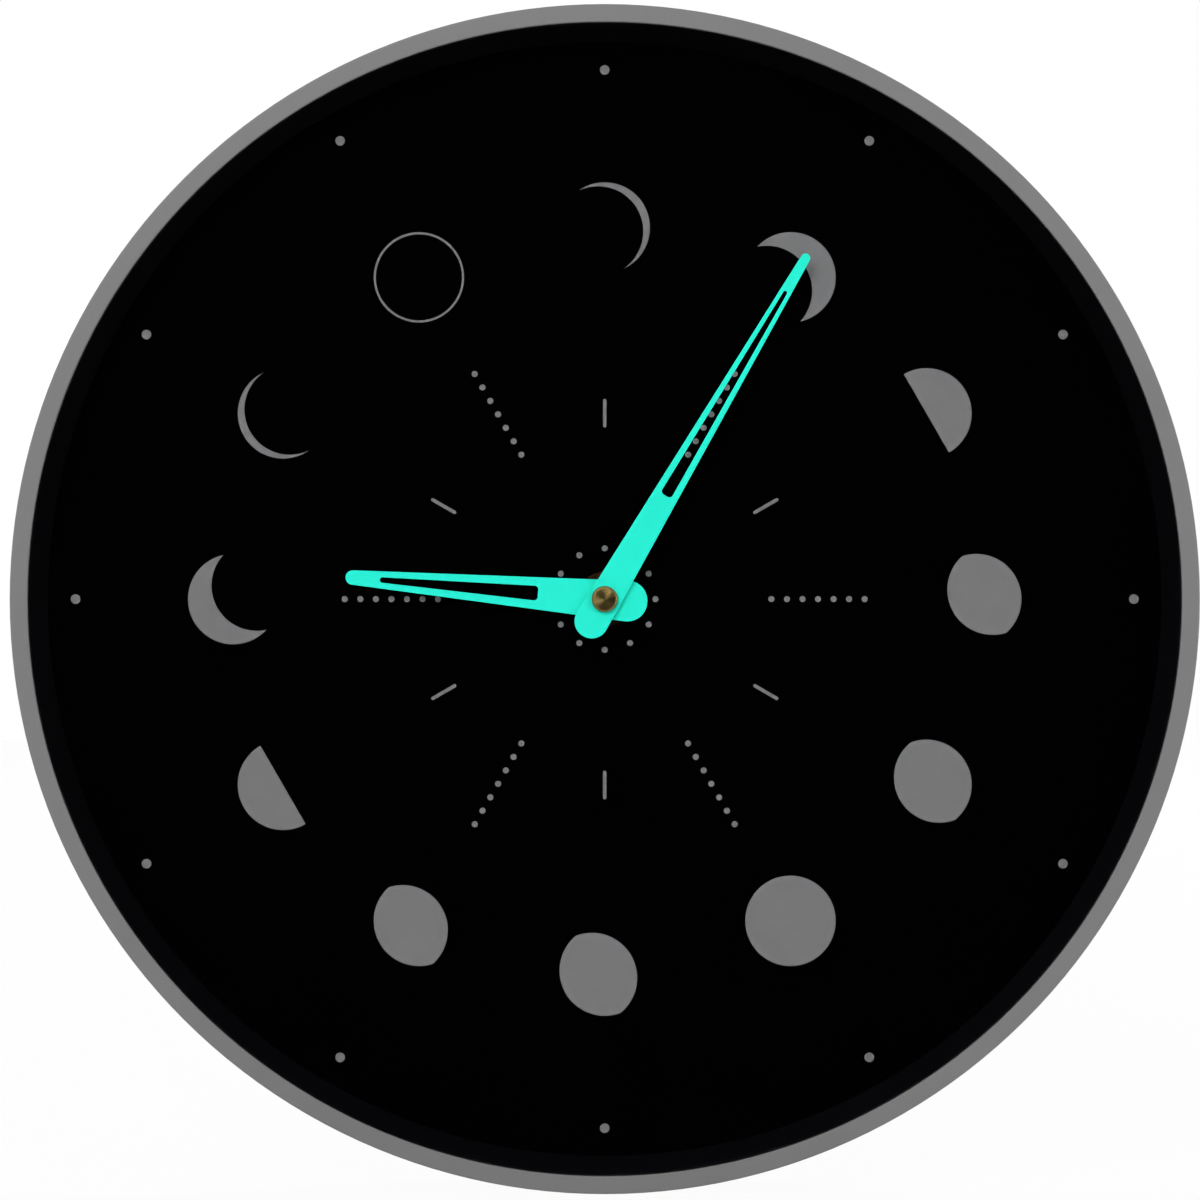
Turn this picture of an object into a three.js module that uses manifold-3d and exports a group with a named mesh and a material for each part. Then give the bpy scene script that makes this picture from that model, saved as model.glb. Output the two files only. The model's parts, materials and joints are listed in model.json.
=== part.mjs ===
// Glass wall clock: a moulded ring with a cover glass, a black dial with the phases of the moon,
// two luminous hands and a quartz movement that hangs on a steel bracket.
// Millimetres, +Z up. The front faces -Y, and X runs to the right as the clock is read.
// The origin lies on the axis of the hands, halfway through the depth of the case.

import * as THREE from "three";
import { mergeVertices } from "three/addons/utils/BufferGeometryUtils.js";
import Module from "manifold-3d";

// Fits and clearances
const SEAT_GAP = 0.2; // between pieces that rest on each other
const DROP_CLEARANCE = 0.4; // round pieces that drop into the case
const RUNNING_CLEARANCE = 0.2; // round a turning shaft, on the radius
const HOLE_CLEARANCE = 0.25; // round a fixed shaft or screw, on the radius
const FILM_GAP = 0.02; // under the printed films
const CUT_MARGIN = 1; // how far a cutting tool passes the face that it cuts
const MERGE_DISTANCE = 1e-4; // corners closer than this are one corner
const FULL_TURN = 360; // degrees
const HOURS = 12; // on the dial

// Case
const CASE_DIAMETER = 300;
const CASE_WALL = 2.4;
const LIP_WIDTH = 4.5;
const LIP_THICKNESS = 1.5;
const EDGE_CHAMFER = 0.7;
const LUG_COUNT = 6;
const LUG_HEIGHT = 1.5;
const LUG_DEPTH = 3.5;
const LUG_LENGTH = 14;
const WALL_CLEARANCE = 1; // from the rearmost piece to the wall

// Glass, spacer, dial and back plate
const GLASS_THICKNESS = 2;
const GLASS_CLEARANCE = 1.2; // from the cap nut to the glass
const SPACER_TAPER = 3.9; // how far the spacer leans in from glass to dial
const DIAL_THICKNESS = 1;
const PLATE_THICKNESS = 2.5;
const RIB_COUNT = 12;
const RIB_HEIGHT = 2;
const RIB_WIDTH = 1.6;
const RIB_MARGIN = 8; // from the ribs to the movement and to the screws

// Screws that hold the plate and the dial to the spacer
const SCREW_COUNT = 6;
const SCREW_DIAMETER = 1.8;
const SCREW_BITE = 2.5;
const SCREW_EDGE = 2.3; // from the screw's axis to the edge of the plate
const SCREW_HEAD_DIAMETER = 3.8;
const SCREW_HEAD_HEIGHT = 1.3;
const SCREW_CROSS_WIDTH = 0.6;
const SCREW_CROSS_DEPTH = 0.6;

// Moon films, twelve on a circle; each is cut by two equal circles
const MOON_INSET = 47.1; // from the edge of the open dial to the middle of a moon
const MOON_RADIUS = 11.5;
const MOON_LIGHT_ANGLE = 60; // where the growing moon's bright edge faces, clockwise from twelve
const THIN_CRESCENT_OFFSET = 1.95;
const CRESCENT_OFFSET = 6.9;
const GIBBOUS_OFFSET = 4.8;
const NEAR_FULL_OFFSET = 3.75;
const NEW_MOON_LINE = 0.55;
const FILM_THICKNESS = 0.15;

// Hands, at the time that the clock shows
const HAND_THICKNESS = 0.5;
const HANDS_SPACING = 1.2;
const HAND_CLEARANCE = 0.6; // from the bush to the hour hand
const SLOT_CORNER = 0.9;
const HOUR_HAND = {
  angle: 274.9,
  length: 65.95,
  tail: 10.85,
  hubHalf: 4.92,
  tipHalf: 1.75,
  slotStart: 17,
  slotEnd: 57.2,
  slotWideHalf: 1.88,
  slotNarrowHalf: 0.68,
};
const MINUTE_HAND = {
  angle: 30.5,
  length: 101.4,
  tail: 10.85,
  hubHalf: 4.12,
  tipHalf: 1.17,
  slotStart: 30.4,
  slotEnd: 90.5,
  slotWideHalf: 1.54,
  slotNarrowHalf: 0.51,
};

// Shafts and fasteners at the centre
const MINUTE_ARBOR_DIAMETER = 3.2;
const ARBOR_FLATS = 2.4;
const HOUR_TUBE_WALL = 0.7;
const TUBE_PROUD = 0.3;
const BUSH_WALL = 1.2;
const BUSH_PROUD = 0.3;
const NUT_SIDES = 6;
const NUT_RIM = 2.35; // metal around the nut's hole
const NUT_THICKNESS = 1.8;
const WASHER_THICKNESS = 0.5;
const WASHER_RIM = 2.8; // metal around the washer's hole
const RUBBER_THICKNESS = 1;
const RUBBER_RIM = 5;
const CAP_DIAMETER = 6.6;
const CAP_THICKNESS = 1.5;
const CAP_ROOF = 0.5;
const CAP_CHAMFER = 0.5;

// Wall hanger
const HANGER_THICKNESS = 1.2;
const HANGER_WIDTH = 24;
const HANGER_FOOT = 14; // how far the strip reaches below the axis
const HANGER_CLEARANCE = 2.5; // over the movement
const HANGER_TAB_HEIGHT = 17;
const HANGER_SETBACK = 1.5; // from the tab to the wall
const NAIL_SLOT_WIDTH = 15;
const NAIL_SLOT_HEIGHT = 7;
const NAIL_SLOT_RISE = 4; // from the bend to the slot
const NAIL_TEETH = 5;
const NAIL_TOOTH_DEPTH = 1.2;

// Movement case
const SHELL_WALL = 1.2;
const COVER_THICKNESS = 1.8;
const CHAMBER_MARGIN = 1.4; // from the wheels and the coil to the walls
const POST_RADIUS = 1.6;
const POST_MARGIN = 0.6;
const PIVOT_DEPTH = 0.8;

// Wheel train
const PRESSURE_ANGLE = THREE.MathUtils.degToRad(20);
const ADDENDUM = 0.8; // in modules
const DEDENDUM = 1.1; // in modules
const PINION_SHIFT = 0.5; // in modules, outwards on a pinion and inwards on its wheel
const BACKLASH = 0.06; // taken off each tooth
const TRAIN_MODULE = 0.4;
const SECONDS_MODULE = 0.5;
const MOTION_MODULE = 0.5;
const PINION_LEAVES = 6;
const INTERMEDIATE_WHEEL_TEETH = 30;
const SECONDS_WHEEL_TEETH = 36;
const THIRD_WHEEL_TEETH = 45;
const CENTRE_WHEEL_TEETH = 48;
const CANNON_LEAVES = 8;
const MOTION_WHEEL_TEETH = 24;
const HOUR_WHEEL_TEETH = 24;
const SETTING_LEAVES = 10;
const WHEEL_THICKNESS = 1.2;
const WHEEL_GAP = 0.5;
const TRAIN_PLATE_THICKNESS = 1;
const ARBOR_RADIUS = 0.6;
const CLUTCH_WALL = 0.2; // of the minute arbor's seat for the slipping wheel, over the arbor
const SECONDS_REACH = 2.4; // of the seconds arbor into the minute arbor
const THIRD_ANGLE = 175; // directions of the axes, counter-clockwise from +X
const INTERMEDIATE_ANGLE = 40;
const ROTOR_ANGLE = 90;
const MOTION_ANGLE = 0;
const SETTING_ANGLE = -20;

// Setting knob
const KNOB_DIAMETER = 10;
const KNOB_HEIGHT = 1.5;
const KNOB_NOTCHES = 14;
const KNOB_NOTCH_DEPTH = 0.5;
const KNOB_SHAFT_RADIUS = 1.2;

// Motor and circuit
const MAGNET_RADIUS = 2.6;
const AIR_GAP = 0.5;
const STATOR_RIM = 1;
const STATOR_THICKNESS = 0.9;
const STATOR_LEG = 3.4;
const COIL_LENGTH = 17;
const COIL_RADIUS = 3.5;
const BOBBIN_RADIUS = 1.9;
const BOBBIN_FLANGE = 0.8;
const CORE_WIDTH = 2;
const CORE_THICKNESS = 0.9;
const BOARD_THICKNESS = 1;
const BOARD_MARGIN = 1;
const CHIP_SIZE = 4;
const CHIP_HEIGHT = 0.9;
const CRYSTAL_RADIUS = 1;
const CRYSTAL_LENGTH = 6;

// Battery and its contacts
const BATTERY_DIAMETER = 14.5;
const BATTERY_LENGTH = 50.5;
const BATTERY_STUD_DIAMETER = 5.5;
const BATTERY_STUD_LENGTH = 1.2;
const BATTERY_CLEARANCE = 0.4;
const CONTACT_THICKNESS = 0.4;
const CONTACT_GAP = 0.3;
const CONTACT_WIDTH = 8;
const CONTACT_TAB_WIDTH = 3;
const CONTACT_TAB_HEIGHT = 2.5;

// How many sides the round pieces have
const CASE_SIDES = 72;
const MOON_SIDES = 32;
const TURNED_SIDES = 16;
const HAND_SIDES = 12;
const SMALL_SIDES = 8;
const LUG_SIDES = 4;
const PINION_FLANK_STEPS = 2;
const WHEEL_FLANK_STEPS = 1;

// Finishes: colour, roughness, metalness and, for the glass, opacity
const GREY_SATIN = { color: 0x808080, roughness: 0.5, metalness: 0 };
const CLEAR_GLASS = { color: 0xe8f0ee, roughness: 0.05, metalness: 0, opacity: 0.2 };
const BLACK_MATT = { color: 0x050507, roughness: 0.7, metalness: 0 };
const PRINT_GREY = { color: 0x7a7a7b, roughness: 0.7, metalness: 0 };
const AQUA_LACQUER = { color: 0x2df0d6, roughness: 0.45, metalness: 0 };
const BRASS = { color: 0x8c7a45, roughness: 0.35, metalness: 1 };
const ZINC_STEEL = { color: 0xb4b6b8, roughness: 0.4, metalness: 1 };
const RUBBER = { color: 0x1b1b1c, roughness: 0.9, metalness: 0 };
const BLACK_PLASTIC = { color: 0x141416, roughness: 0.55, metalness: 0 };
const WHITE_PLASTIC = { color: 0xe6e4dc, roughness: 0.5, metalness: 0 };
const COPPER_WIRE = { color: 0xb06a3a, roughness: 0.4, metalness: 1 };
const GREEN_BOARD = { color: 0x1d5a34, roughness: 0.6, metalness: 0 };
const MAGNET_GREY = { color: 0x5a5c60, roughness: 0.45, metalness: 1 };
const BATTERY_JACKET = { color: 0x3a4654, roughness: 0.35, metalness: 0.3 };

const wasm = await Module();
wasm.setup();

// A closed three.js geometry as a solid that can be joined and cut.
function solidOf(geometry) {
  geometry.deleteAttribute("normal");
  geometry.deleteAttribute("uv");
  const merged = mergeVertices(geometry, MERGE_DISTANCE);
  const vertProperties = new Float32Array(merged.attributes.position.array);
  const triVerts = new Uint32Array(merged.index.array);
  return new wasm.Manifold(new wasm.Mesh({ numProp: 3, vertProperties, triVerts }));
}

// A finished solid as a named mesh with flat faces.
function piece(name, solid, finish) {
  const { vertProperties, triVerts } = solid.getMesh();
  const shared = new THREE.BufferGeometry();
  shared.setAttribute("position", new THREE.BufferAttribute(vertProperties, 3));
  shared.setIndex(new THREE.BufferAttribute(triVerts, 1));
  const geometry = shared.toNonIndexed();
  geometry.computeVertexNormals();
  const transparent = finish.opacity !== undefined;
  const mesh = new THREE.Mesh(geometry, new THREE.MeshStandardMaterial({ ...finish, transparent }));
  mesh.name = name;
  return mesh;
}

function join(...solids) {
  return solids.reduce((whole, solid) => whole.add(solid));
}

function cut(solid, ...tools) {
  return tools.reduce((rest, tool) => rest.subtract(tool), solid);
}

function radiansOf(degrees) {
  return THREE.MathUtils.degToRad(degrees);
}

// A point on the dial at a clock angle: degrees clockwise from twelve, seen from the front.
function clockPoint(radius, degrees) {
  const angle = radiansOf(degrees);
  return new THREE.Vector2(radius * Math.sin(angle), radius * Math.cos(angle));
}

// A point in the front view at an angle counter-clockwise from +X.
function polarPoint(radius, angle) {
  return new THREE.Vector2(radius * Math.cos(angle), radius * Math.sin(angle));
}

// An outline in the front view (x right, z up), made thick from frontY backwards.
function slab(shape, frontY, thickness, sides = TURNED_SIDES) {
  const options = { depth: thickness, bevelEnabled: false, curveSegments: sides / 2 };
  const geometry = new THREE.ExtrudeGeometry(shape, options);
  geometry.rotateX(Math.PI / 2);
  geometry.translate(0, frontY + thickness, 0);
  return solidOf(geometry);
}

// A block between two corners.
function block(low, high) {
  const geometry = new THREE.BoxGeometry(high[0] - low[0], high[1] - low[1], high[2] - low[2]);
  geometry.translate((low[0] + high[0]) / 2, (low[1] + high[1]) / 2, (low[2] + high[2]) / 2);
  return solidOf(geometry);
}

// A round bar along Y whose axis passes through the point at (x, z).
function rod(radius, frontY, backY, at = new THREE.Vector2(), sides = TURNED_SIDES) {
  const geometry = new THREE.CylinderGeometry(radius, radius, backY - frontY, sides);
  geometry.translate(at.x, (frontY + backY) / 2, at.y);
  return solidOf(geometry);
}

// A round bar along X.
function barAlongX(radius, fromX, toX, y, z, sides = TURNED_SIDES) {
  const geometry = new THREE.CylinderGeometry(radius, radius, toX - fromX, sides);
  geometry.rotateZ(Math.PI / 2);
  geometry.translate((fromX + toX) / 2, y, z);
  return solidOf(geometry);
}

// A profile of [radius, y] pairs, taken round the axis of the hands. It runs towards +Y on its outside.
function turned(profile, sides = TURNED_SIDES) {
  const points = profile.map(([radius, y]) => new THREE.Vector2(radius, y));
  const startsOnAxis = points[0].x === 0;
  const outline = startsOnAxis ? points : [...points, points[0]];
  return solidOf(new THREE.LatheGeometry(outline, sides));
}

function disc(radius) {
  return new THREE.Shape().absarc(0, 0, radius, 0, 2 * Math.PI, false);
}

function tube(outer, inner, frontY, backY, sides = TURNED_SIDES) {
  return turned([[outer, frontY], [outer, backY], [inner, backY], [inner, frontY]], sides);
}

// Radii at the centre, from the minute arbor outwards
const minuteRadius = MINUTE_ARBOR_DIAMETER / 2;
const hourTubeInner = minuteRadius + RUNNING_CLEARANCE;
const hourTubeOuter = hourTubeInner + HOUR_TUBE_WALL;
const bushInner = hourTubeOuter + RUNNING_CLEARANCE;
const bushOuter = bushInner + BUSH_WALL;
const centreHole = bushOuter + HOLE_CLEARANCE;

// Places along Y, counted from the front of the case
const lipBack = LIP_THICKNESS;
const glassFront = lipBack + SEAT_GAP;
const glassBack = glassFront + GLASS_THICKNESS;
const capFront = glassBack + GLASS_CLEARANCE;
const capBack = capFront + CAP_THICKNESS;
const minuteHandFront = capBack + SEAT_GAP;
const minuteHandBack = minuteHandFront + HAND_THICKNESS;
const hourHandFront = minuteHandBack + HANDS_SPACING;
const hourHandBack = hourHandFront + HAND_THICKNESS;
const bushFront = hourHandBack + HAND_CLEARANCE;
const nutFront = bushFront + BUSH_PROUD;
const nutBack = nutFront + NUT_THICKNESS;
const washerFront = nutBack + SEAT_GAP;
const dialFront = washerFront + WASHER_THICKNESS + SEAT_GAP;
const filmFront = dialFront - FILM_GAP - FILM_THICKNESS;
const dialBack = dialFront + DIAL_THICKNESS;
const plateFront = dialBack + SEAT_GAP;
const plateBack = plateFront + PLATE_THICKNESS;
const hangerFront = plateBack + SEAT_GAP;
const hangerBack = hangerFront + HANGER_THICKNESS;
const rubberFront = hangerBack + SEAT_GAP;
const shellFront = rubberFront + RUBBER_THICKNESS + SEAT_GAP;
const floorBack = shellFront + SHELL_WALL;
const hourLevel = floorBack + WHEEL_GAP;
const motionLevel = hourLevel + WHEEL_THICKNESS + WHEEL_GAP;
const trainPlateFront = motionLevel + WHEEL_THICKNESS + WHEEL_GAP;
const trainPlateBack = trainPlateFront + TRAIN_PLATE_THICKNESS;
const centreLevel = trainPlateBack + WHEEL_GAP;
const thirdLevel = centreLevel + WHEEL_THICKNESS + WHEEL_GAP;
const secondsLevel = thirdLevel + WHEEL_THICKNESS + WHEEL_GAP;
const shellBack = secondsLevel + WHEEL_THICKNESS + WHEEL_GAP;
const coverFront = shellBack + SEAT_GAP;
const coverBack = coverFront + COVER_THICKNESS;
const knobFront = coverBack + RUNNING_CLEARANCE;
const knobBack = knobFront + KNOB_HEIGHT;
const batteryRadius = BATTERY_DIAMETER / 2;
const batteryAxisY = floorBack + BATTERY_CLEARANCE + batteryRadius;
const caseDepth = Math.max(batteryAxisY + batteryRadius, knobBack) + WALL_CLEARANCE;

// Radii of the case and of what drops into it
const caseRadius = CASE_DIAMETER / 2;
const boreRadius = caseRadius - CASE_WALL;
const dropRadius = boreRadius - DROP_CLEARANCE;
const lipInner = caseRadius - LIP_WIDTH;
const spacerBackInner = lipInner - SPACER_TAPER;
const moonCircle = spacerBackInner - MOON_INSET;
const screwCircle = dropRadius - SCREW_EDGE;
const screwHole = SCREW_DIAMETER / 2 + HOLE_CLEARANCE;

// Gears of the train: wheels give up in height what their pinions gain
function pinion(teeth, module) {
  return { teeth, module, shift: PINION_SHIFT, flankSteps: PINION_FLANK_STEPS };
}

function wheel(teeth, module) {
  return { teeth, module, shift: -PINION_SHIFT, flankSteps: WHEEL_FLANK_STEPS };
}

function centreDistance(first, second) {
  return (first.module * first.teeth + second.module * second.teeth) / 2;
}

function tipRadius(gear) {
  return gear.module * (gear.teeth / 2 + ADDENDUM + gear.shift);
}

function rootRadius(gear) {
  return gear.module * (gear.teeth / 2 - DEDENDUM + gear.shift);
}

const rotorPinion = pinion(PINION_LEAVES, TRAIN_MODULE);
const intermediateWheel = wheel(INTERMEDIATE_WHEEL_TEETH, TRAIN_MODULE);
const intermediatePinion = pinion(PINION_LEAVES, SECONDS_MODULE);
const secondsWheel = wheel(SECONDS_WHEEL_TEETH, SECONDS_MODULE);
const secondsPinion = pinion(PINION_LEAVES, TRAIN_MODULE);
const thirdWheel = wheel(THIRD_WHEEL_TEETH, TRAIN_MODULE);
const thirdDistance = centreDistance(secondsPinion, thirdWheel);
const centreModule = (2 * thirdDistance) / (CENTRE_WHEEL_TEETH + PINION_LEAVES);
const thirdPinion = pinion(PINION_LEAVES, centreModule);
const centreWheel = wheel(CENTRE_WHEEL_TEETH, centreModule);
const cannonPinion = pinion(CANNON_LEAVES, MOTION_MODULE);
const motionWheel = wheel(MOTION_WHEEL_TEETH, MOTION_MODULE);
const motionDistance = centreDistance(cannonPinion, motionWheel);
const hourModule = (2 * motionDistance) / (HOUR_WHEEL_TEETH + PINION_LEAVES);
const motionPinion = pinion(PINION_LEAVES, hourModule);
const hourWheel = wheel(HOUR_WHEEL_TEETH, hourModule);
const settingPinion = pinion(SETTING_LEAVES, MOTION_MODULE);

// Axes of the train in the front view; the hands turn about (0, 0)
const thirdDirection = radiansOf(THIRD_ANGLE);
const thirdAxis = polarPoint(thirdDistance, thirdDirection);
const intermediateDirection = radiansOf(INTERMEDIATE_ANGLE);
const intermediateDistance = centreDistance(intermediatePinion, secondsWheel);
const intermediateAxis = polarPoint(intermediateDistance, intermediateDirection);
const rotorDirection = radiansOf(ROTOR_ANGLE);
const rotorDistance = centreDistance(rotorPinion, intermediateWheel);
const rotorAxis = polarPoint(rotorDistance, rotorDirection).add(intermediateAxis);
const motionDirection = radiansOf(MOTION_ANGLE);
const motionAxis = polarPoint(motionDistance, motionDirection);
const settingDirection = radiansOf(SETTING_ANGLE);
const settingDistance = centreDistance(settingPinion, motionWheel);
const settingAxis = polarPoint(settingDistance, settingDirection).add(motionAxis);

// Motor: the stator holds the rotor and carries the coil above it
const statorHole = MAGNET_RADIUS + AIR_GAP;
const statorBottom = rotorAxis.y - statorHole - STATOR_RIM;
const statorTop = rotorAxis.y + statorHole + STATOR_RIM;
const statorBack = centreLevel + STATOR_THICKNESS;
const coreFront = statorBack + SEAT_GAP;
const coreY = coreFront + CORE_THICKNESS / 2;
const coilZ = statorTop + COIL_RADIUS + CHAMBER_MARGIN / 2;
const coilLeft = rotorAxis.x - COIL_LENGTH / 2;
const coilRight = rotorAxis.x + COIL_LENGTH / 2;

// Inside of the movement case: the wheel chamber above the battery bay
const chamberBottom = -Math.max(tipRadius(secondsWheel), tipRadius(centreWheel)) - CHAMBER_MARGIN;
const chamberTop = coilZ + COIL_RADIUS + CHAMBER_MARGIN;
const bayTop = chamberBottom - SHELL_WALL;
const bayBottom = bayTop - BATTERY_DIAMETER - 2 * BATTERY_CLEARANCE;
const bayHalf = BATTERY_LENGTH / 2 + 2 * CONTACT_GAP + CONTACT_THICKNESS;
const batteryZ = (bayTop + bayBottom) / 2;
const shellHalf = bayHalf + SHELL_WALL;
const shellTop = chamberTop + SHELL_WALL;
const shellBottom = bayBottom - SHELL_WALL;
const trainPlateTop = statorTop - CHAMBER_MARGIN;

// Case ring: outer wall, front lip and the snap lugs that hold the plate
function caseRing() {
  const profile = [
    [caseRadius - EDGE_CHAMFER, 0],
    [caseRadius, EDGE_CHAMFER],
    [caseRadius, caseDepth],
    [boreRadius, caseDepth],
    [boreRadius, lipBack],
    [lipInner, lipBack],
    [lipInner, 0],
  ];
  let ring = turned(profile, CASE_SIDES);
  for (let index = 0; index < LUG_COUNT; index += 1) {
    ring = ring.add(snapLug((index * FULL_TURN) / LUG_COUNT));
  }
  return piece("case_ring", ring, GREY_SATIN);
}

function snapLug(degrees) {
  const middle = radiansOf(degrees);
  const halfArc = LUG_LENGTH / boreRadius / 2;
  const shape = new THREE.Shape();
  shape.absarc(0, 0, boreRadius + CASE_WALL / 2, middle - halfArc, middle + halfArc, false);
  shape.absarc(0, 0, boreRadius - LUG_HEIGHT, middle + halfArc, middle - halfArc, true);
  return slab(shape, plateBack + SEAT_GAP, LUG_DEPTH, LUG_SIDES);
}

function frontGlass() {
  return piece("front_glass", slab(disc(dropRadius), glassFront, GLASS_THICKNESS, CASE_SIDES), CLEAR_GLASS);
}

// Screw axes lie midway between the lugs.
function screwAxes() {
  const axes = [];
  for (let index = 0; index < SCREW_COUNT; index += 1) {
    axes.push(polarPoint(screwCircle, radiansOf(((index + 0.5) * FULL_TURN) / SCREW_COUNT)));
  }
  return axes;
}

function screwHoles(frontY, backY) {
  return screwAxes().map((axis) => rod(screwHole, frontY, backY, axis, SMALL_SIDES));
}

function spacerRing() {
  const front = glassBack + SEAT_GAP;
  const back = dialFront - SEAT_GAP;
  const profile = [[dropRadius, front], [dropRadius, back], [spacerBackInner, back], [lipInner, front]];
  const pilots = screwHoles(back - SCREW_BITE - CUT_MARGIN / 2, back + CUT_MARGIN);
  return piece("spacer_ring", cut(turned(profile, CASE_SIDES), ...pilots), BLACK_MATT);
}

function centreHoleTool(frontY, backY) {
  return rod(centreHole, frontY - CUT_MARGIN, backY + CUT_MARGIN);
}

function dialPlate() {
  const sheet = slab(disc(dropRadius), dialFront, DIAL_THICKNESS, CASE_SIDES);
  const holes = screwHoles(dialFront - CUT_MARGIN, dialBack + CUT_MARGIN);
  return piece("dial_plate", cut(sheet, centreHoleTool(dialFront, dialBack), ...holes), BLACK_MATT);
}

// Back plate with radial ribs between the movement and the screws
function backPlate() {
  const ribStart = Math.hypot(shellHalf, Math.max(shellTop, -shellBottom)) + RIB_MARGIN;
  const ribEnd = screwCircle - RIB_MARGIN;
  let plate = slab(disc(dropRadius), plateFront, PLATE_THICKNESS, CASE_SIDES);
  for (let index = 0; index < RIB_COUNT; index += 1) {
    const rib = block(
      [ribStart, plateBack - CUT_MARGIN, -RIB_WIDTH / 2],
      [ribEnd, plateBack + RIB_HEIGHT, RIB_WIDTH / 2],
    );
    plate = plate.add(rib.rotate([0, ((index + 0.5) * FULL_TURN) / RIB_COUNT, 0]));
  }
  const holes = screwHoles(plateFront - CUT_MARGIN, plateBack + CUT_MARGIN);
  return piece("back_plate", cut(plate, centreHoleTool(plateFront, plateBack), ...holes), BLACK_PLASTIC);
}

// Plate screws: a pan head with a cross, behind the plate, and a shank that reaches into the spacer
function plateScrews() {
  const headFront = plateBack + SEAT_GAP;
  const headBack = headFront + SCREW_HEAD_HEIGHT;
  const headRadius = SCREW_HEAD_DIAMETER / 2;
  const armHalf = headRadius - 2 * SCREW_CROSS_WIDTH;
  const crossFront = headBack - SCREW_CROSS_DEPTH;
  const shankFront = dialFront - SEAT_GAP - SCREW_BITE;
  return screwAxes().map((axis, index) => {
    const shank = rod(SCREW_DIAMETER / 2, shankFront, headBack - CUT_MARGIN, axis, SMALL_SIDES);
    const head = rod(headRadius, headFront, headBack, axis, SMALL_SIDES);
    const across = block(
      [axis.x - armHalf, crossFront, axis.y - SCREW_CROSS_WIDTH / 2],
      [axis.x + armHalf, headBack + CUT_MARGIN, axis.y + SCREW_CROSS_WIDTH / 2],
    );
    const along = block(
      [axis.x - SCREW_CROSS_WIDTH / 2, crossFront, axis.y - armHalf],
      [axis.x + SCREW_CROSS_WIDTH / 2, headBack + CUT_MARGIN, axis.y + armHalf],
    );
    return piece(`plate_screw_${index + 1}`, cut(join(shank, head), across, along), ZINC_STEEL);
  });
}

// The whole disc of the moon as a film, about its own centre
function fullMoon() {
  return slab(disc(MOON_RADIUS), filmFront, FILM_THICKNESS, MOON_SIDES);
}

// A disc of the same size, moved along a clock angle, that passes both faces of the film
function moonTool(degrees, offset) {
  const shift = clockPoint(offset, degrees);
  const tool = slab(disc(MOON_RADIUS), filmFront - CUT_MARGIN, FILM_THICKNESS + 2 * CUT_MARGIN, MOON_SIDES);
  return tool.translate([shift.x, 0, shift.y]);
}

function crescentMoon(offset) {
  return (lit) => fullMoon().subtract(moonTool(lit, -offset));
}

function gibbousMoon(offset) {
  return (lit) => fullMoon().intersect(moonTool(lit, offset));
}

function quarterMoon(lit) {
  const reach = MOON_RADIUS + CUT_MARGIN;
  const half = block([-reach, filmFront - CUT_MARGIN, -reach], [reach, dialFront + CUT_MARGIN, 0]);
  return fullMoon().subtract(half.rotate([0, lit, 0]));
}

function newMoon() {
  return tube(MOON_RADIUS, MOON_RADIUS - NEW_MOON_LINE, filmFront, filmFront + FILM_THICKNESS, MOON_SIDES);
}

// One film for each hour: the moon grows from twelve to five and wanes from six to ten.
function moonFilms() {
  const growing = MOON_LIGHT_ANGLE;
  const waning = MOON_LIGHT_ANGLE + FULL_TURN / 2;
  const phases = [
    [12, "thin_crescent", crescentMoon(THIN_CRESCENT_OFFSET), growing],
    [1, "crescent", crescentMoon(CRESCENT_OFFSET), growing],
    [2, "first_quarter", quarterMoon, growing],
    [3, "gibbous", gibbousMoon(GIBBOUS_OFFSET), growing],
    [4, "near_full", gibbousMoon(NEAR_FULL_OFFSET), growing],
    [5, "full", fullMoon, growing],
    [6, "past_full", gibbousMoon(NEAR_FULL_OFFSET), waning],
    [7, "waning_gibbous", gibbousMoon(GIBBOUS_OFFSET), waning],
    [8, "last_quarter", quarterMoon, waning],
    [9, "waning_crescent", crescentMoon(CRESCENT_OFFSET), waning],
    [10, "thin_waning_crescent", crescentMoon(THIN_CRESCENT_OFFSET), waning],
    [11, "new", newMoon, growing],
  ];
  return phases.map(([hour, phase, film, lit]) => {
    const place = clockPoint(moonCircle, (hour * FULL_TURN) / HOURS);
    const mesh = piece(`moon_${hour}_${phase}`, film(lit), PRINT_GREY);
    mesh.position.set(place.x, 0, place.y);
    return mesh;
  });
}

// A hand that points to twelve: straight sides, a round tail, a round tip and a tapering slot
function handShape(hand) {
  const slope = (hand.hubHalf - hand.tipHalf) / hand.length;
  const tailRadius = (hand.hubHalf + slope * hand.tail) / (1 + slope);
  const tailZ = tailRadius - hand.tail;
  const shape = new THREE.Shape();
  shape.absarc(0, tailZ, tailRadius, Math.PI, 2 * Math.PI, false);
  shape.absarc(0, hand.length - hand.tipHalf, hand.tipHalf, 0, Math.PI, false);
  shape.closePath();
  shape.holes.push(slotPath(hand));
  return shape;
}

function slotPath(hand) {
  const corner = Math.min(SLOT_CORNER, hand.slotWideHalf / 2);
  const path = new THREE.Path();
  path.moveTo(corner - hand.slotWideHalf, hand.slotStart);
  path.lineTo(hand.slotWideHalf - corner, hand.slotStart);
  path.quadraticCurveTo(hand.slotWideHalf, hand.slotStart, hand.slotWideHalf, hand.slotStart + corner);
  path.absarc(0, hand.slotEnd - hand.slotNarrowHalf, hand.slotNarrowHalf, 0, Math.PI, false);
  path.lineTo(-hand.slotWideHalf, hand.slotStart + corner);
  path.quadraticCurveTo(-hand.slotWideHalf, hand.slotStart, corner - hand.slotWideHalf, hand.slotStart);
  return path;
}

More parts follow.
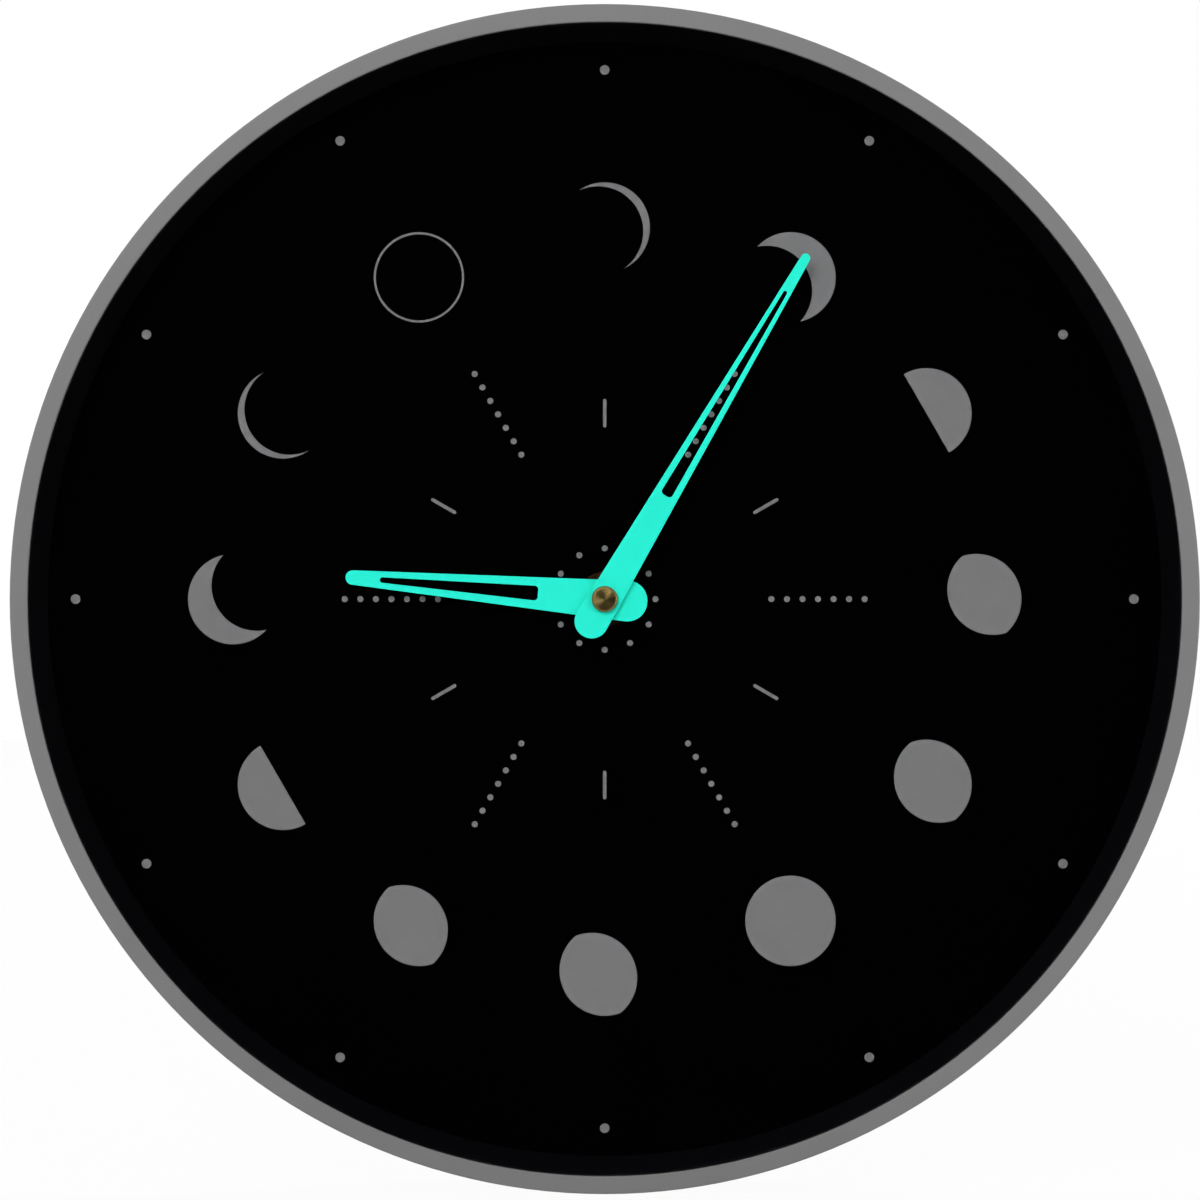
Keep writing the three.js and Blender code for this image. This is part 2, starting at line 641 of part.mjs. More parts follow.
function hourHand() {
  const blade = slab(handShape(HOUR_HAND), hourHandFront, HAND_THICKNESS, HAND_SIDES);
  const hole = rod(hourTubeOuter + SEAT_GAP, hourHandFront - CUT_MARGIN, hourHandBack + CUT_MARGIN);
  const mesh = piece("hour_hand", blade.subtract(hole), AQUA_LACQUER);
  mesh.rotation.y = radiansOf(HOUR_HAND.angle);
  return mesh;
}

// The minute arbor's front end has two flats, and the minute hand's hole has the same form.
function flattedRod(radius, flats, frontY, backY) {
  const flatBlock = block(
    [-flats / 2, frontY - CUT_MARGIN, -2 * radius],
    [flats / 2, backY + CUT_MARGIN, 2 * radius],
  );
  return rod(radius, frontY, backY).intersect(flatBlock);
}

function minuteHand() {
  const blade = slab(handShape(MINUTE_HAND), minuteHandFront, HAND_THICKNESS, HAND_SIDES);
  const hole = flattedRod(
    minuteRadius + SEAT_GAP,
    ARBOR_FLATS + 2 * SEAT_GAP,
    minuteHandFront - CUT_MARGIN,
    minuteHandBack + CUT_MARGIN,
  );
  const mesh = piece("minute_hand", blade.subtract(hole), AQUA_LACQUER);
  mesh.rotation.y = radiansOf(MINUTE_HAND.angle);
  return mesh;
}

// Cap nut: a shallow cone with a blind hole for the arbor's end
function capNut() {
  const radius = CAP_DIAMETER / 2;
  const hole = minuteRadius + SEAT_GAP;
  const profile = [
    [0, capFront],
    [radius - CAP_CHAMFER, capFront + CAP_CHAMFER / 2],
    [radius, capFront + CAP_CHAMFER],
    [radius, capBack],
    [hole, capBack],
    [hole, capFront + CAP_ROOF],
    [0, capFront + CAP_ROOF],
  ];
  return piece("cap_nut", turned(profile), BRASS);
}

function hexNut() {
  const corner = (centreHole + NUT_RIM) / Math.cos(Math.PI / NUT_SIDES);
  const corners = [];
  for (let index = 0; index < NUT_SIDES; index += 1) {
    corners.push(clockPoint(corner, -(index * FULL_TURN) / NUT_SIDES));
  }
  const blank = slab(new THREE.Shape(corners), nutFront, NUT_THICKNESS);
  return piece("hex_nut", blank.subtract(centreHoleTool(nutFront, nutBack)), BRASS);
}

function brassWasher() {
  const outer = centreHole + WASHER_RIM;
  return piece("brass_washer", tube(outer, centreHole, washerFront, washerFront + WASHER_THICKNESS), BRASS);
}

function rubberWasher() {
  const back = rubberFront + RUBBER_THICKNESS;
  return piece("rubber_washer", tube(centreHole + RUBBER_RIM, centreHole, rubberFront, back), RUBBER);
}

function threadedBush() {
  return piece("threaded_bush", tube(bushOuter, bushInner, bushFront, floorBack), BRASS);
}

// Wall hanger: a strip clamped under the movement, bent back over it and up to a tab with a toothed slot
function wallHanger() {
  const half = HANGER_WIDTH / 2;
  const bendTop = shellTop + HANGER_CLEARANCE + HANGER_THICKNESS;
  const bendBottom = bendTop - HANGER_THICKNESS;
  const tabBack = caseDepth - HANGER_SETBACK;
  const tabFront = tabBack - HANGER_THICKNESS;
  const strip = block([-half, hangerFront, -HANGER_FOOT], [half, hangerBack, bendTop]);
  const shelf = block([-half, hangerFront, bendBottom], [half, tabBack, bendTop]);
  const tab = block([-half, tabFront, bendBottom], [half, tabBack, bendTop + HANGER_TAB_HEIGHT]);
  const slotShape = nailSlotShape(bendTop + NAIL_SLOT_RISE);
  const slot = slab(slotShape, tabFront - CUT_MARGIN, HANGER_THICKNESS + 2 * CUT_MARGIN);
  const hole = centreHoleTool(hangerFront, hangerBack);
  return piece("wall_hanger", cut(join(strip, shelf, tab), slot, hole), ZINC_STEEL);
}

function nailSlotShape(bottom) {
  const half = NAIL_SLOT_WIDTH / 2;
  const top = bottom + NAIL_SLOT_HEIGHT;
  const pitch = NAIL_SLOT_WIDTH / NAIL_TEETH;
  const shape = new THREE.Shape();
  shape.moveTo(-half, bottom);
  shape.lineTo(half, bottom);
  shape.lineTo(half, top);
  for (let index = 0; index < NAIL_TEETH; index += 1) {
    shape.lineTo(half - (index + 0.5) * pitch, top + NAIL_TOOTH_DEPTH);
    shape.lineTo(half - (index + 1) * pitch, top);
  }
  shape.closePath();
  return shape;
}

// Bearing holes: a blind or through hole for an arbor at an axis
function bearing(axis, frontY, backY, radius = ARBOR_RADIUS) {
  return rod(radius + RUNNING_CLEARANCE, frontY, backY, axis, SMALL_SIDES);
}

// Movement case: a tray with the wheel chamber, the battery bay below it and posts for the train plate
function movementCase() {
  const body = block([-shellHalf, shellFront, shellBottom], [shellHalf, shellBack, shellTop]);
  const cutBack = shellBack + CUT_MARGIN;
  const chamber = block([-bayHalf, floorBack, chamberBottom], [bayHalf, cutBack, chamberTop]);
  const bay = block([-bayHalf, floorBack, bayBottom], [bayHalf, cutBack, bayTop]);
  const postFront = floorBack - SHELL_WALL / 2;
  const postBack = trainPlateFront - SEAT_GAP;
  const postX = bayHalf - POST_RADIUS - POST_MARGIN;
  const postZ = [chamberBottom + POST_RADIUS + POST_MARGIN, trainPlateTop - POST_RADIUS - POST_MARGIN];
  let tray = cut(body, chamber, bay);
  for (const x of [-postX, postX]) {
    for (const z of postZ) {
      tray = tray.add(rod(POST_RADIUS, postFront, postBack, new THREE.Vector2(x, z)));
    }
  }
  const pivotFront = floorBack - PIVOT_DEPTH;
  return piece(
    "movement_case",
    cut(
      tray,
      centreHoleTool(shellFront, floorBack),
      bearing(motionAxis, pivotFront, floorBack + WHEEL_GAP),
      bearing(settingAxis, pivotFront, floorBack + WHEEL_GAP, KNOB_SHAFT_RADIUS),
    ),
    BLACK_PLASTIC,
  );
}

// Movement cover: closes the wheel chamber, bears the arbors and lets the knob's shaft through
function movementCover() {
  const plate = block([-shellHalf, coverFront, bayTop], [shellHalf, coverBack, shellTop]);
  const pivots = [new THREE.Vector2(), thirdAxis, intermediateAxis, rotorAxis].map((axis) =>
    bearing(axis, coverFront - CUT_MARGIN, coverFront + PIVOT_DEPTH),
  );
  const knobHole = bearing(settingAxis, coverFront - CUT_MARGIN, coverBack + CUT_MARGIN, KNOB_SHAFT_RADIUS);
  return piece("movement_cover", cut(plate, knobHole, ...pivots), BLACK_PLASTIC);
}

// Train plate: stands on the posts between the motion work and the drive train
function trainPlate() {
  const side = bayHalf - DROP_CLEARANCE;
  const sheet = block(
    [-side, trainPlateFront, chamberBottom + DROP_CLEARANCE],
    [side, trainPlateBack, trainPlateTop],
  );
  const through = [trainPlateFront - CUT_MARGIN, trainPlateBack + CUT_MARGIN];
  const arborAxes = [thirdAxis, intermediateAxis, rotorAxis, motionAxis];
  const holes = arborAxes.map((axis) => bearing(axis, ...through));
  const knobHole = bearing(settingAxis, ...through, KNOB_SHAFT_RADIUS);
  const arborHole = bearing(new THREE.Vector2(), ...through, minuteRadius + CLUTCH_WALL);
  return piece("train_plate", cut(sheet, knobHole, arborHole, ...holes), WHITE_PLASTIC);
}

function involute(angle) {
  return Math.tan(angle) - angle;
}

// Outline of a gear with involute teeth; phase is the direction of the first tooth.
function gearShape(gear, phase) {
  const pitchRadius = (gear.module * gear.teeth) / 2;
  const baseRadius = pitchRadius * Math.cos(PRESSURE_ANGLE);
  const shiftedWidth = gear.module * (Math.PI / 2 + 2 * gear.shift * Math.tan(PRESSURE_ANGLE));
  const pitchHalf = (shiftedWidth - BACKLASH) / (2 * pitchRadius) + involute(PRESSURE_ANGLE);
  const halfAngleAt = (radius) => pitchHalf - involute(Math.acos(Math.min(1, baseRadius / radius)));
  const root = rootRadius(gear);
  const tip = tipRadius(gear);
  const flank = [];
  for (let step = 0; step <= gear.flankSteps; step += 1) {
    const radius = root + (step / gear.flankSteps) * (tip - root);
    flank.push([radius, halfAngleAt(radius)]);
  }
  const outline = [];
  for (let tooth = 0; tooth < gear.teeth; tooth += 1) {
    const middle = phase + (tooth / gear.teeth) * 2 * Math.PI;
    const rising = flank.map(([radius, half]) => polarPoint(radius, middle - half));
    const falling = flank.map(([radius, half]) => polarPoint(radius, middle + half)).reverse();
    outline.push(...rising, ...falling);
  }
  return new THREE.Shape(outline);
}

function gearDisc(gear, phase, frontY) {
  return slab(gearShape(gear, phase), frontY, WHEEL_THICKNESS);
}

// The phase that puts a gear in mesh: it has a gap where the first gear has a tooth on the line of centres.
function meshedPhase(first, firstPhase, second, direction) {
  const toothShare = ((direction - firstPhase) * first.teeth) / (2 * Math.PI);
  return direction + Math.PI - ((0.5 - toothShare) * 2 * Math.PI) / second.teeth;
}

const secondsPhase = 0;
const intermediatePinionPhase = meshedPhase(
  secondsWheel,
  secondsPhase,
  intermediatePinion,
  intermediateDirection,
);
const intermediateWheelPhase = 0;
const rotorPhase = meshedPhase(intermediateWheel, intermediateWheelPhase, rotorPinion, rotorDirection);
const secondsPinionPhase = 0;
const thirdWheelPhase = meshedPhase(secondsPinion, secondsPinionPhase, thirdWheel, thirdDirection);
const thirdPinionPhase = 0;
const centrePhase = meshedPhase(thirdPinion, thirdPinionPhase, centreWheel, thirdDirection + Math.PI);
const cannonPhase = 0;
const motionWheelPhase = meshedPhase(cannonPinion, cannonPhase, motionWheel, motionDirection);
const motionPinionPhase = 0;
const hourPhase = meshedPhase(motionPinion, motionPinionPhase, hourWheel, motionDirection + Math.PI);
const settingPhase = meshedPhase(motionWheel, motionWheelPhase, settingPinion, settingDirection);

// A wheel and a pinion on one arbor, about their own axis
function wheelSet(name, axis, gears, arborFront, arborBack) {
  const discs = gears.map(([gear, phase, level]) => gearDisc(gear, phase, level));
  const arbor = rod(ARBOR_RADIUS, arborFront, arborBack, new THREE.Vector2(), SMALL_SIDES);
  const mesh = piece(name, join(arbor, ...discs), WHITE_PLASTIC);
  mesh.position.set(axis.x, 0, axis.y);
  return mesh;
}

const pivotEnd = coverFront + PIVOT_DEPTH - SEAT_GAP;
const pivotStart = trainPlateFront + SEAT_GAP;

function intermediateWheelSet() {
  const gears = [
    [intermediateWheel, intermediateWheelPhase, thirdLevel],
    [intermediatePinion, intermediatePinionPhase, secondsLevel],
  ];
  return wheelSet("intermediate_wheel", intermediateAxis, gears, pivotStart, pivotEnd);
}

function secondsWheelSet() {
  const gears = [
    [secondsWheel, secondsPhase, secondsLevel],
    [secondsPinion, secondsPinionPhase, thirdLevel],
  ];
  const front = centreLevel + WHEEL_THICKNESS - SECONDS_REACH;
  return wheelSet("seconds_wheel", new THREE.Vector2(), gears, front, pivotEnd);
}

function thirdWheelSet() {
  const gears = [
    [thirdWheel, thirdWheelPhase, thirdLevel],
    [thirdPinion, thirdPinionPhase, centreLevel],
  ];
  return wheelSet("third_wheel", thirdAxis, gears, pivotStart, pivotEnd);
}

function motionWheelSet() {
  const gears = [
    [motionWheel, motionWheelPhase, motionLevel],
    [motionPinion, motionPinionPhase, hourLevel],
  ];
  const front = floorBack - PIVOT_DEPTH + SEAT_GAP;
  return wheelSet("motion_wheel", motionAxis, gears, front, trainPlateBack - SEAT_GAP);
}

// Rotor: a pinion on its arbor and the ring magnet pressed on it
function rotor() {
  const gears = [[rotorPinion, rotorPhase, thirdLevel]];
  const magnet = piece(
    "rotor_magnet",
    tube(MAGNET_RADIUS, ARBOR_RADIUS + SEAT_GAP, centreLevel, centreLevel + WHEEL_THICKNESS),
    MAGNET_GREY,
  );
  magnet.position.set(rotorAxis.x, 0, rotorAxis.y);
  return [wheelSet("rotor_pinion", rotorAxis, gears, pivotStart, pivotEnd), magnet];
}

// The centre wheel slips on the minute arbor's seat when the hands are set.
function centreWheelRing() {
  const seat = minuteRadius + CLUTCH_WALL + RUNNING_CLEARANCE;
  const hole = rod(seat, centreLevel - CUT_MARGIN, centreLevel + WHEEL_THICKNESS + CUT_MARGIN);
  const rim = gearDisc(centreWheel, centrePhase, centreLevel);
  return piece("centre_wheel", rim.subtract(hole), WHITE_PLASTIC);
}

// Minute arbor: seat for the centre wheel, cannon pinion, shaft and the flatted end for hand and cap
function minuteArbor() {
  const seatBack = centreLevel + WHEEL_THICKNESS;
  const pinionBack = motionLevel + WHEEL_THICKNESS;
  const end = capFront + CAP_ROOF + SEAT_GAP;
  const shoulder = minuteHandBack + SEAT_GAP;
  const core = Math.min(minuteRadius, rootRadius(cannonPinion));
  const seat = rod(minuteRadius + CLUTCH_WALL, pinionBack + SEAT_GAP, seatBack);
  const neck = rod(core, shoulder, seatBack);
  const shaft = rod(minuteRadius, shoulder, motionLevel);
  const tip = flattedRod(minuteRadius, ARBOR_FLATS, end, shoulder + CUT_MARGIN);
  const bore = rod(
    ARBOR_RADIUS + RUNNING_CLEARANCE,
    seatBack - SECONDS_REACH - SEAT_GAP,
    seatBack + CUT_MARGIN,
    new THREE.Vector2(),
    SMALL_SIDES,
  );
  const whole = join(
    neck,
    seat,
    shaft,
    gearDisc(cannonPinion, cannonPhase, motionLevel),
    tip.rotate([0, MINUTE_HAND.angle, 0]),
  );
  return piece("minute_arbor", whole.subtract(bore), BRASS);
}

// Hour wheel with the tube that carries the hour hand
function hourWheelTube() {
  const back = hourLevel + WHEEL_THICKNESS;
  const hole = rod(hourTubeInner, hourLevel - CUT_MARGIN, back + CUT_MARGIN);
  const disc = gearDisc(hourWheel, hourPhase, hourLevel).subtract(hole);
  const pipe = tube(hourTubeOuter, hourTubeInner, hourHandFront - TUBE_PROUD, back);
  return piece("hour_wheel", disc.add(pipe), BRASS);
}

// Setting knob behind the cover, with the pinion that turns the motion wheel
function settingKnob() {
  const front = floorBack - PIVOT_DEPTH + SEAT_GAP;
  const shaft = rod(KNOB_SHAFT_RADIUS, front, knobFront + KNOB_HEIGHT / 2);
  const gear = gearDisc(settingPinion, settingPhase, motionLevel);
  const head = slab(knobShape(), knobFront, KNOB_HEIGHT);
  const mesh = piece("setting_knob", join(shaft, gear, head), WHITE_PLASTIC);
  mesh.position.set(settingAxis.x, 0, settingAxis.y);
  return mesh;
}

function knobShape() {
  const points = [];
  for (let index = 0; index < 2 * KNOB_NOTCHES; index += 1) {
    const radius = KNOB_DIAMETER / 2 - (index % 2) * KNOB_NOTCH_DEPTH;
    points.push(polarPoint(radius, (index * Math.PI) / KNOB_NOTCHES));
  }
  return new THREE.Shape(points);
}

// Stator: a sheet with the rotor's hole and two legs up to the ends of the coil's core
function stator() {
  const left = coilLeft - STATOR_LEG;
  const right = coilRight + STATOR_LEG;
  const top = coilZ + CORE_WIDTH / 2;
  const outline = [
    [left, statorBottom],
    [right, statorBottom],
    [right, top],
    [coilRight + SEAT_GAP, top],
    [coilRight + SEAT_GAP, statorTop],
    [coilLeft - SEAT_GAP, statorTop],
    [coilLeft - SEAT_GAP, top],
    [left, top],
  ];
  const shape = new THREE.Shape(outline.map(([x, z]) => new THREE.Vector2(x, z)));
  const sheet = slab(shape, centreLevel, STATOR_THICKNESS);
  const hole = rod(statorHole, centreLevel - CUT_MARGIN, statorBack + CUT_MARGIN, rotorAxis);
  return piece("stator", sheet.subtract(hole), ZINC_STEEL);
}

function coil() {
  const core = block(
    [coilLeft - STATOR_LEG, coreFront, coilZ - CORE_WIDTH / 2],
    [coilRight + STATOR_LEG, coreFront + CORE_THICKNESS, coilZ + CORE_WIDTH / 2],
  );
  const tunnel = block(
    [coilLeft - CUT_MARGIN, coreFront - SEAT_GAP, coilZ - CORE_WIDTH / 2 - SEAT_GAP],
    [coilRight + CUT_MARGIN, coreFront + CORE_THICKNESS + SEAT_GAP, coilZ + CORE_WIDTH / 2 + SEAT_GAP],
  );
  const barrel = barAlongX(BOBBIN_RADIUS, coilLeft, coilRight, coreY, coilZ);
  const leftFlange = barAlongX(COIL_RADIUS, coilLeft, coilLeft + BOBBIN_FLANGE, coreY, coilZ);
  const rightFlange = barAlongX(COIL_RADIUS, coilRight - BOBBIN_FLANGE, coilRight, coreY, coilZ);
  const windingLeft = coilLeft + BOBBIN_FLANGE + SEAT_GAP;
  const windingRight = coilRight - BOBBIN_FLANGE - SEAT_GAP;
  const wound = barAlongX(COIL_RADIUS - SEAT_GAP, windingLeft, windingRight, coreY, coilZ);
  const wireHole = barAlongX(
    BOBBIN_RADIUS + SEAT_GAP,
    windingLeft - CUT_MARGIN,
    windingRight + CUT_MARGIN,
    coreY,
    coilZ,
  );
  return [
    piece("coil_core", core, ZINC_STEEL),
    piece("coil_bobbin", cut(join(barrel, leftFlange, rightFlange), tunnel), WHITE_PLASTIC),
    piece("coil_winding", wound.subtract(wireHole), COPPER_WIRE),
  ];
}

// Circuit board on the floor of the case, beside the stator, with its chip and its crystal
function circuit() {
  const left = BOARD_MARGIN - bayHalf;
  const right = coilLeft - STATOR_LEG - BOARD_MARGIN;
  const bottom = trainPlateTop + BOARD_MARGIN;
  const top = chamberTop - BOARD_MARGIN;
  const front = floorBack + SEAT_GAP;
  const back = front + BOARD_THICKNESS;
  const middleZ = (bottom + top) / 2;
  const chipLeft = right - BOARD_MARGIN - CHIP_SIZE;
  const partFront = back + SEAT_GAP;
  const board = block([left, front, bottom], [right, back, top]);
  const chip = block(
    [chipLeft, partFront, middleZ - CHIP_SIZE / 2],
    [chipLeft + CHIP_SIZE, partFront + CHIP_HEIGHT, middleZ + CHIP_SIZE / 2],
  );
  const crystalRight = chipLeft - BOARD_MARGIN;
  const crystal = barAlongX(
    CRYSTAL_RADIUS,
    crystalRight - CRYSTAL_LENGTH,
    crystalRight,
    partFront + CRYSTAL_RADIUS,
    middleZ,
    SMALL_SIDES,
  );
  return [
    piece("circuit_board", board, GREEN_BOARD),
    piece("control_chip", chip, BLACK_PLASTIC),
    piece("quartz_crystal", crystal, ZINC_STEEL),
  ];
}

// Battery: the cell's can with the stud of its positive end towards +X
function battery() {
  const bodyRight = BATTERY_LENGTH / 2 - BATTERY_STUD_LENGTH;
  const can = barAlongX(batteryRadius, -BATTERY_LENGTH / 2, bodyRight, batteryAxisY, batteryZ);
  const stud = barAlongX(
    BATTERY_STUD_DIAMETER / 2,
    bodyRight - CUT_MARGIN,
    BATTERY_LENGTH / 2,
    batteryAxisY,
    batteryZ,
    SMALL_SIDES,
  );
  return piece("battery", can.add(stud), BATTERY_JACKET);
}

// Battery contacts: sheet pads at both ends of the bay, each with a tab that stands up to the cover's level
function batteryContacts() {
  const inner = BATTERY_LENGTH / 2 + CONTACT_GAP;
  return [
    ["contact_positive", inner],
    ["contact_negative", -inner - CONTACT_THICKNESS],
  ].map(([name, left]) => {
    const right = left + CONTACT_THICKNESS;
    const padBack = batteryAxisY + CONTACT_WIDTH / 2;
    const pad = block(
      [left, floorBack + SEAT_GAP, batteryZ - CONTACT_WIDTH / 2],
      [right, padBack, batteryZ + CONTACT_WIDTH / 2],
    );
    const tab = block(
      [left, padBack - CUT_MARGIN, batteryZ - CONTACT_TAB_WIDTH / 2],
      [right, padBack + CONTACT_TAB_HEIGHT, batteryZ + CONTACT_TAB_WIDTH / 2],
    );
    return piece(name, join(pad, tab), ZINC_STEEL);
  });
}

function groupOf(...meshes) {
  const group = new THREE.Group();
  group.add(...meshes);
  return group;
}

const housing = groupOf(
  caseRing(),
  frontGlass(),
  spacerRing(),
  dialPlate(),
  ...moonFilms(),
  backPlate(),
  ...plateScrews(),
  wallHanger(),
);
const centreFasteners = groupOf(threadedBush(), rubberWasher(), brassWasher(), hexNut());
const movement = groupOf(
  movementCase(),
  movementCover(),
  trainPlate(),
  stator(),
  ...coil(),
  ...circuit(),
  ...batteryContacts(),
  battery(),
);
const driveTrain = groupOf(
  ...rotor(),
  intermediateWheelSet(),
  secondsWheelSet(),
  thirdWheelSet(),
  centreWheelRing(),
);
const motionWork = groupOf(minuteArbor(), motionWheelSet(), hourWheelTube(), settingKnob());
const hands = groupOf(hourHand(), minuteHand(), capNut());

const wallClock = groupOf(housing, centreFasteners, movement, driveTrain, motionWork, hands);
wallClock.position.y = -caseDepth / 2;

export default wallClock;
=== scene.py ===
"""Looks of the wall clock: fine meshes, finishes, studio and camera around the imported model.

Lengths are metres in the model's own frame. The dial faces -Y, X runs to the right and Z up. The
hands turn about the Y axis, and a positive turn is clockwise as the clock is read.
"""

import json
import logging
import math
from abc import ABC, abstractmethod
from collections.abc import Callable, Iterator, Sequence
from contextlib import contextmanager
from dataclasses import dataclass
from enum import Enum
from functools import cache
from typing import Any

import bmesh
import bpy
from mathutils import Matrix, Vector


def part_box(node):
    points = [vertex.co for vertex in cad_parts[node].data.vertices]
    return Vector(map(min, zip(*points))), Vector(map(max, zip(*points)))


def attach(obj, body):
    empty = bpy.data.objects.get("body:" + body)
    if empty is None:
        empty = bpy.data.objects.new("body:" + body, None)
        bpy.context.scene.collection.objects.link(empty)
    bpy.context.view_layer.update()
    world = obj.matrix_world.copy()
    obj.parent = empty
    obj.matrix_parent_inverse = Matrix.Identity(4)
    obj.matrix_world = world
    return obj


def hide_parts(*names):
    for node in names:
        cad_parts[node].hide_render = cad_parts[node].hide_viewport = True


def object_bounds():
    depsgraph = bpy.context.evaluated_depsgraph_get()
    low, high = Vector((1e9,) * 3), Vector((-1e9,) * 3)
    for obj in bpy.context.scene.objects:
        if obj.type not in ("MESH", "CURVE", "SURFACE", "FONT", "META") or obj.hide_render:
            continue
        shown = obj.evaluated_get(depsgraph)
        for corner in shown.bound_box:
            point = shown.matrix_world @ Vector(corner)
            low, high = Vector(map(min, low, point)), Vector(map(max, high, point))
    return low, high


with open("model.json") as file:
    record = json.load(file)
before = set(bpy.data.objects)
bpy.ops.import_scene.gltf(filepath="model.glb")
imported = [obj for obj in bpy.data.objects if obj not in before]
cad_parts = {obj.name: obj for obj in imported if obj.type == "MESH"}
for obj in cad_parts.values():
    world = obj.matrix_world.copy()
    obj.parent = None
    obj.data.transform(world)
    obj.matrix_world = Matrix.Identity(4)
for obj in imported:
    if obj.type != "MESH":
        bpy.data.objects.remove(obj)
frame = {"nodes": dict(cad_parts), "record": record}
CAD_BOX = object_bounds()

MM = 0.001
NEAR = 1e-6  # points closer than this are one point
TINY = 0.02 * MM  # shorter edges are closed before the edges of a piece are rounded
FACING = 0.9  # least share of a direction along an axis for it to count as that axis
CREASE = math.radians(40)  # least angle of an edge that is softened
SQUARE = math.radians(60)  # the same where only square edges are softened
SMOOTH = math.radians(35)  # edges sharper than this stay sharp in the shading
HOURS = 12
HOUR_STEP = math.tau / HOURS
FINE_SIDES = 192  # of the large rings and discs
TURNED_SIDES = 96  # of small turned pieces
SMALL_SIDES = 48  # of shafts and holes
DRILL_SIDES = 24  # of screw holes, posts and printed dots
ROUND_STEPS = 4  # across a rounded edge
BEND_STEPS = 8  # across a bend or a large corner
PASS = 1 * MM  # how far a cutting tool passes the face that it cuts
ALONG_Y = (math.pi / 2, 0.0, 0.0)  # turn that lays a primitive's own axis along Y
WHITE = (1.0, 1.0, 1.0, 1.0)

Piece = bpy.types.Object
Node = bpy.types.Node
Socket = bpy.types.NodeSocket
Tree = bpy.types.NodeTree
Place = Sequence[float]
Test = Callable[[Any], bool]
log = logging.getLogger("wall_clock")


class Body(Enum):
    """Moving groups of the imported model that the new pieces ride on."""

    CLOCK = "clock"
    MINUTE = "minute_set"
    HOUR = "hour_set"
    KNOB = "knob_set"
    CELL = "cell"


class Part(Enum):
    """Elements of a mesh that can be picked in edit mode."""

    VERT = "verts"
    EDGE = "edges"
    FACE = "faces"


class Joining(Enum):
    """Ways to combine two closed meshes."""

    FUSE = "UNION"
    CUT = "DIFFERENCE"
    SHARE = "INTERSECT"


class Relief(Enum):
    """Fine relief that a surface carries."""

    GRAIN = "moulded_grain"
    BRUSHED = "brushed_lines"
    TURNED = "turned_rings"
    WOUND = "wound_wire"


class Phase(Enum):
    """Shapes of the printed moon."""

    CRESCENT = "crescent"
    QUARTER = "quarter"
    GIBBOUS = "gibbous"
    FULL = "full"
    NEW = "new"


# Bench: selecting, shaping and combining meshes


def take(*pieces: Piece) -> None:
    """Selects pieces and nothing else.

    Args:
        pieces: pieces to select; the first one becomes active
    """
    bpy.ops.object.select_all(action="DESELECT")
    for piece in pieces:
        piece.select_set(True)
    bpy.context.view_layer.objects.active = pieces[0]


def settle(piece: Piece) -> Piece:
    """Puts a piece's place, turn and scale into its mesh.

    Args:
        piece: piece that was moved as an object
    Returns:
        the same piece, at the origin
    """
    take(piece)
    bpy.ops.object.transform_apply(location=True, rotation=True, scale=True)
    return piece


def add(primitive: Callable[..., Any], scale: Place = (1.0, 1.0, 1.0), **options: Any) -> Piece:
    """Adds a primitive while nothing else is selected.

    Args:
        primitive: operator that adds it
        scale: its stretch along its own axes
        options: settings of the operator
    Returns:
        the new piece, at the origin
    """
    bpy.ops.object.select_all(action="DESELECT")
    primitive(**options)
    piece = bpy.context.active_object
    piece.scale = scale
    return settle(piece)


@contextmanager
def editing(piece: Piece) -> Iterator[None]:
    """Opens a piece in edit mode for the length of a with block.

    Args:
        piece: piece to shape
    Returns:
        a context that leaves edit mode at its end
    """
    take(piece)
    bpy.ops.object.mode_set(mode="EDIT")
    yield
    bpy.ops.object.mode_set(mode="OBJECT")


def pick(piece: Piece, part: Part, test: Test) -> None:
    """Selects in edit mode the elements that pass a test, and no others.

    Args:
        piece: piece in edit mode
        part: kind of element
        test: says whether an element is wanted
    """
    bpy.ops.mesh.select_mode(type=part.name)
    bpy.ops.mesh.select_all(action="DESELECT")
    mesh = bmesh.from_edit_mesh(piece.data)
    for element in getattr(mesh, part.value):
        if test(element):
            element.select_set(True)
    mesh.select_flush_mode()
    bmesh.update_edit_mesh(piece.data)


def pick_all() -> None:
    """Selects the whole mesh in edit mode."""
    bpy.ops.mesh.select_all(action="SELECT")


def anywhere(point: Vector) -> bool:
    """Accepts every point."""
    return True


def at_height(height: float) -> Test:
    """Gives the test for points at a height."""
    return lambda point: abs(point.z - height) < NEAR


def runs_along(edge: Any, axis: int) -> bool:
    """Says whether an edge runs along X, Y or Z, counted from 0."""
    return abs((edge.verts[1].co - edge.verts[0].co).normalized()[axis]) > FACING


def edges(where: Test = anywhere, axis: int | None = None) -> Test:
    """Gives the test for edges that lie in a place and run along an axis.

    Args:
        where: says whether a point is in the place
        axis: 0, 1 or 2, or None if the direction doesn't matter
    Returns:
        the test
    """

    def test(edge: Any) -> bool:
        """Says whether an edge passes."""
        inside = all(where(vert.co) for vert in edge.verts)
        return inside and (axis is None or runs_along(edge, axis))

    return test


def extrude(way: Place) -> None:
    """Extrudes what is selected in edit mode."""
    bpy.ops.mesh.extrude_region_move(TRANSFORM_OT_translate={"value": way})


def face_outwards() -> None:
    """Turns all the faces of the mesh in edit mode outwards."""
    pick_all()
    bpy.ops.mesh.normals_make_consistent(inside=False)


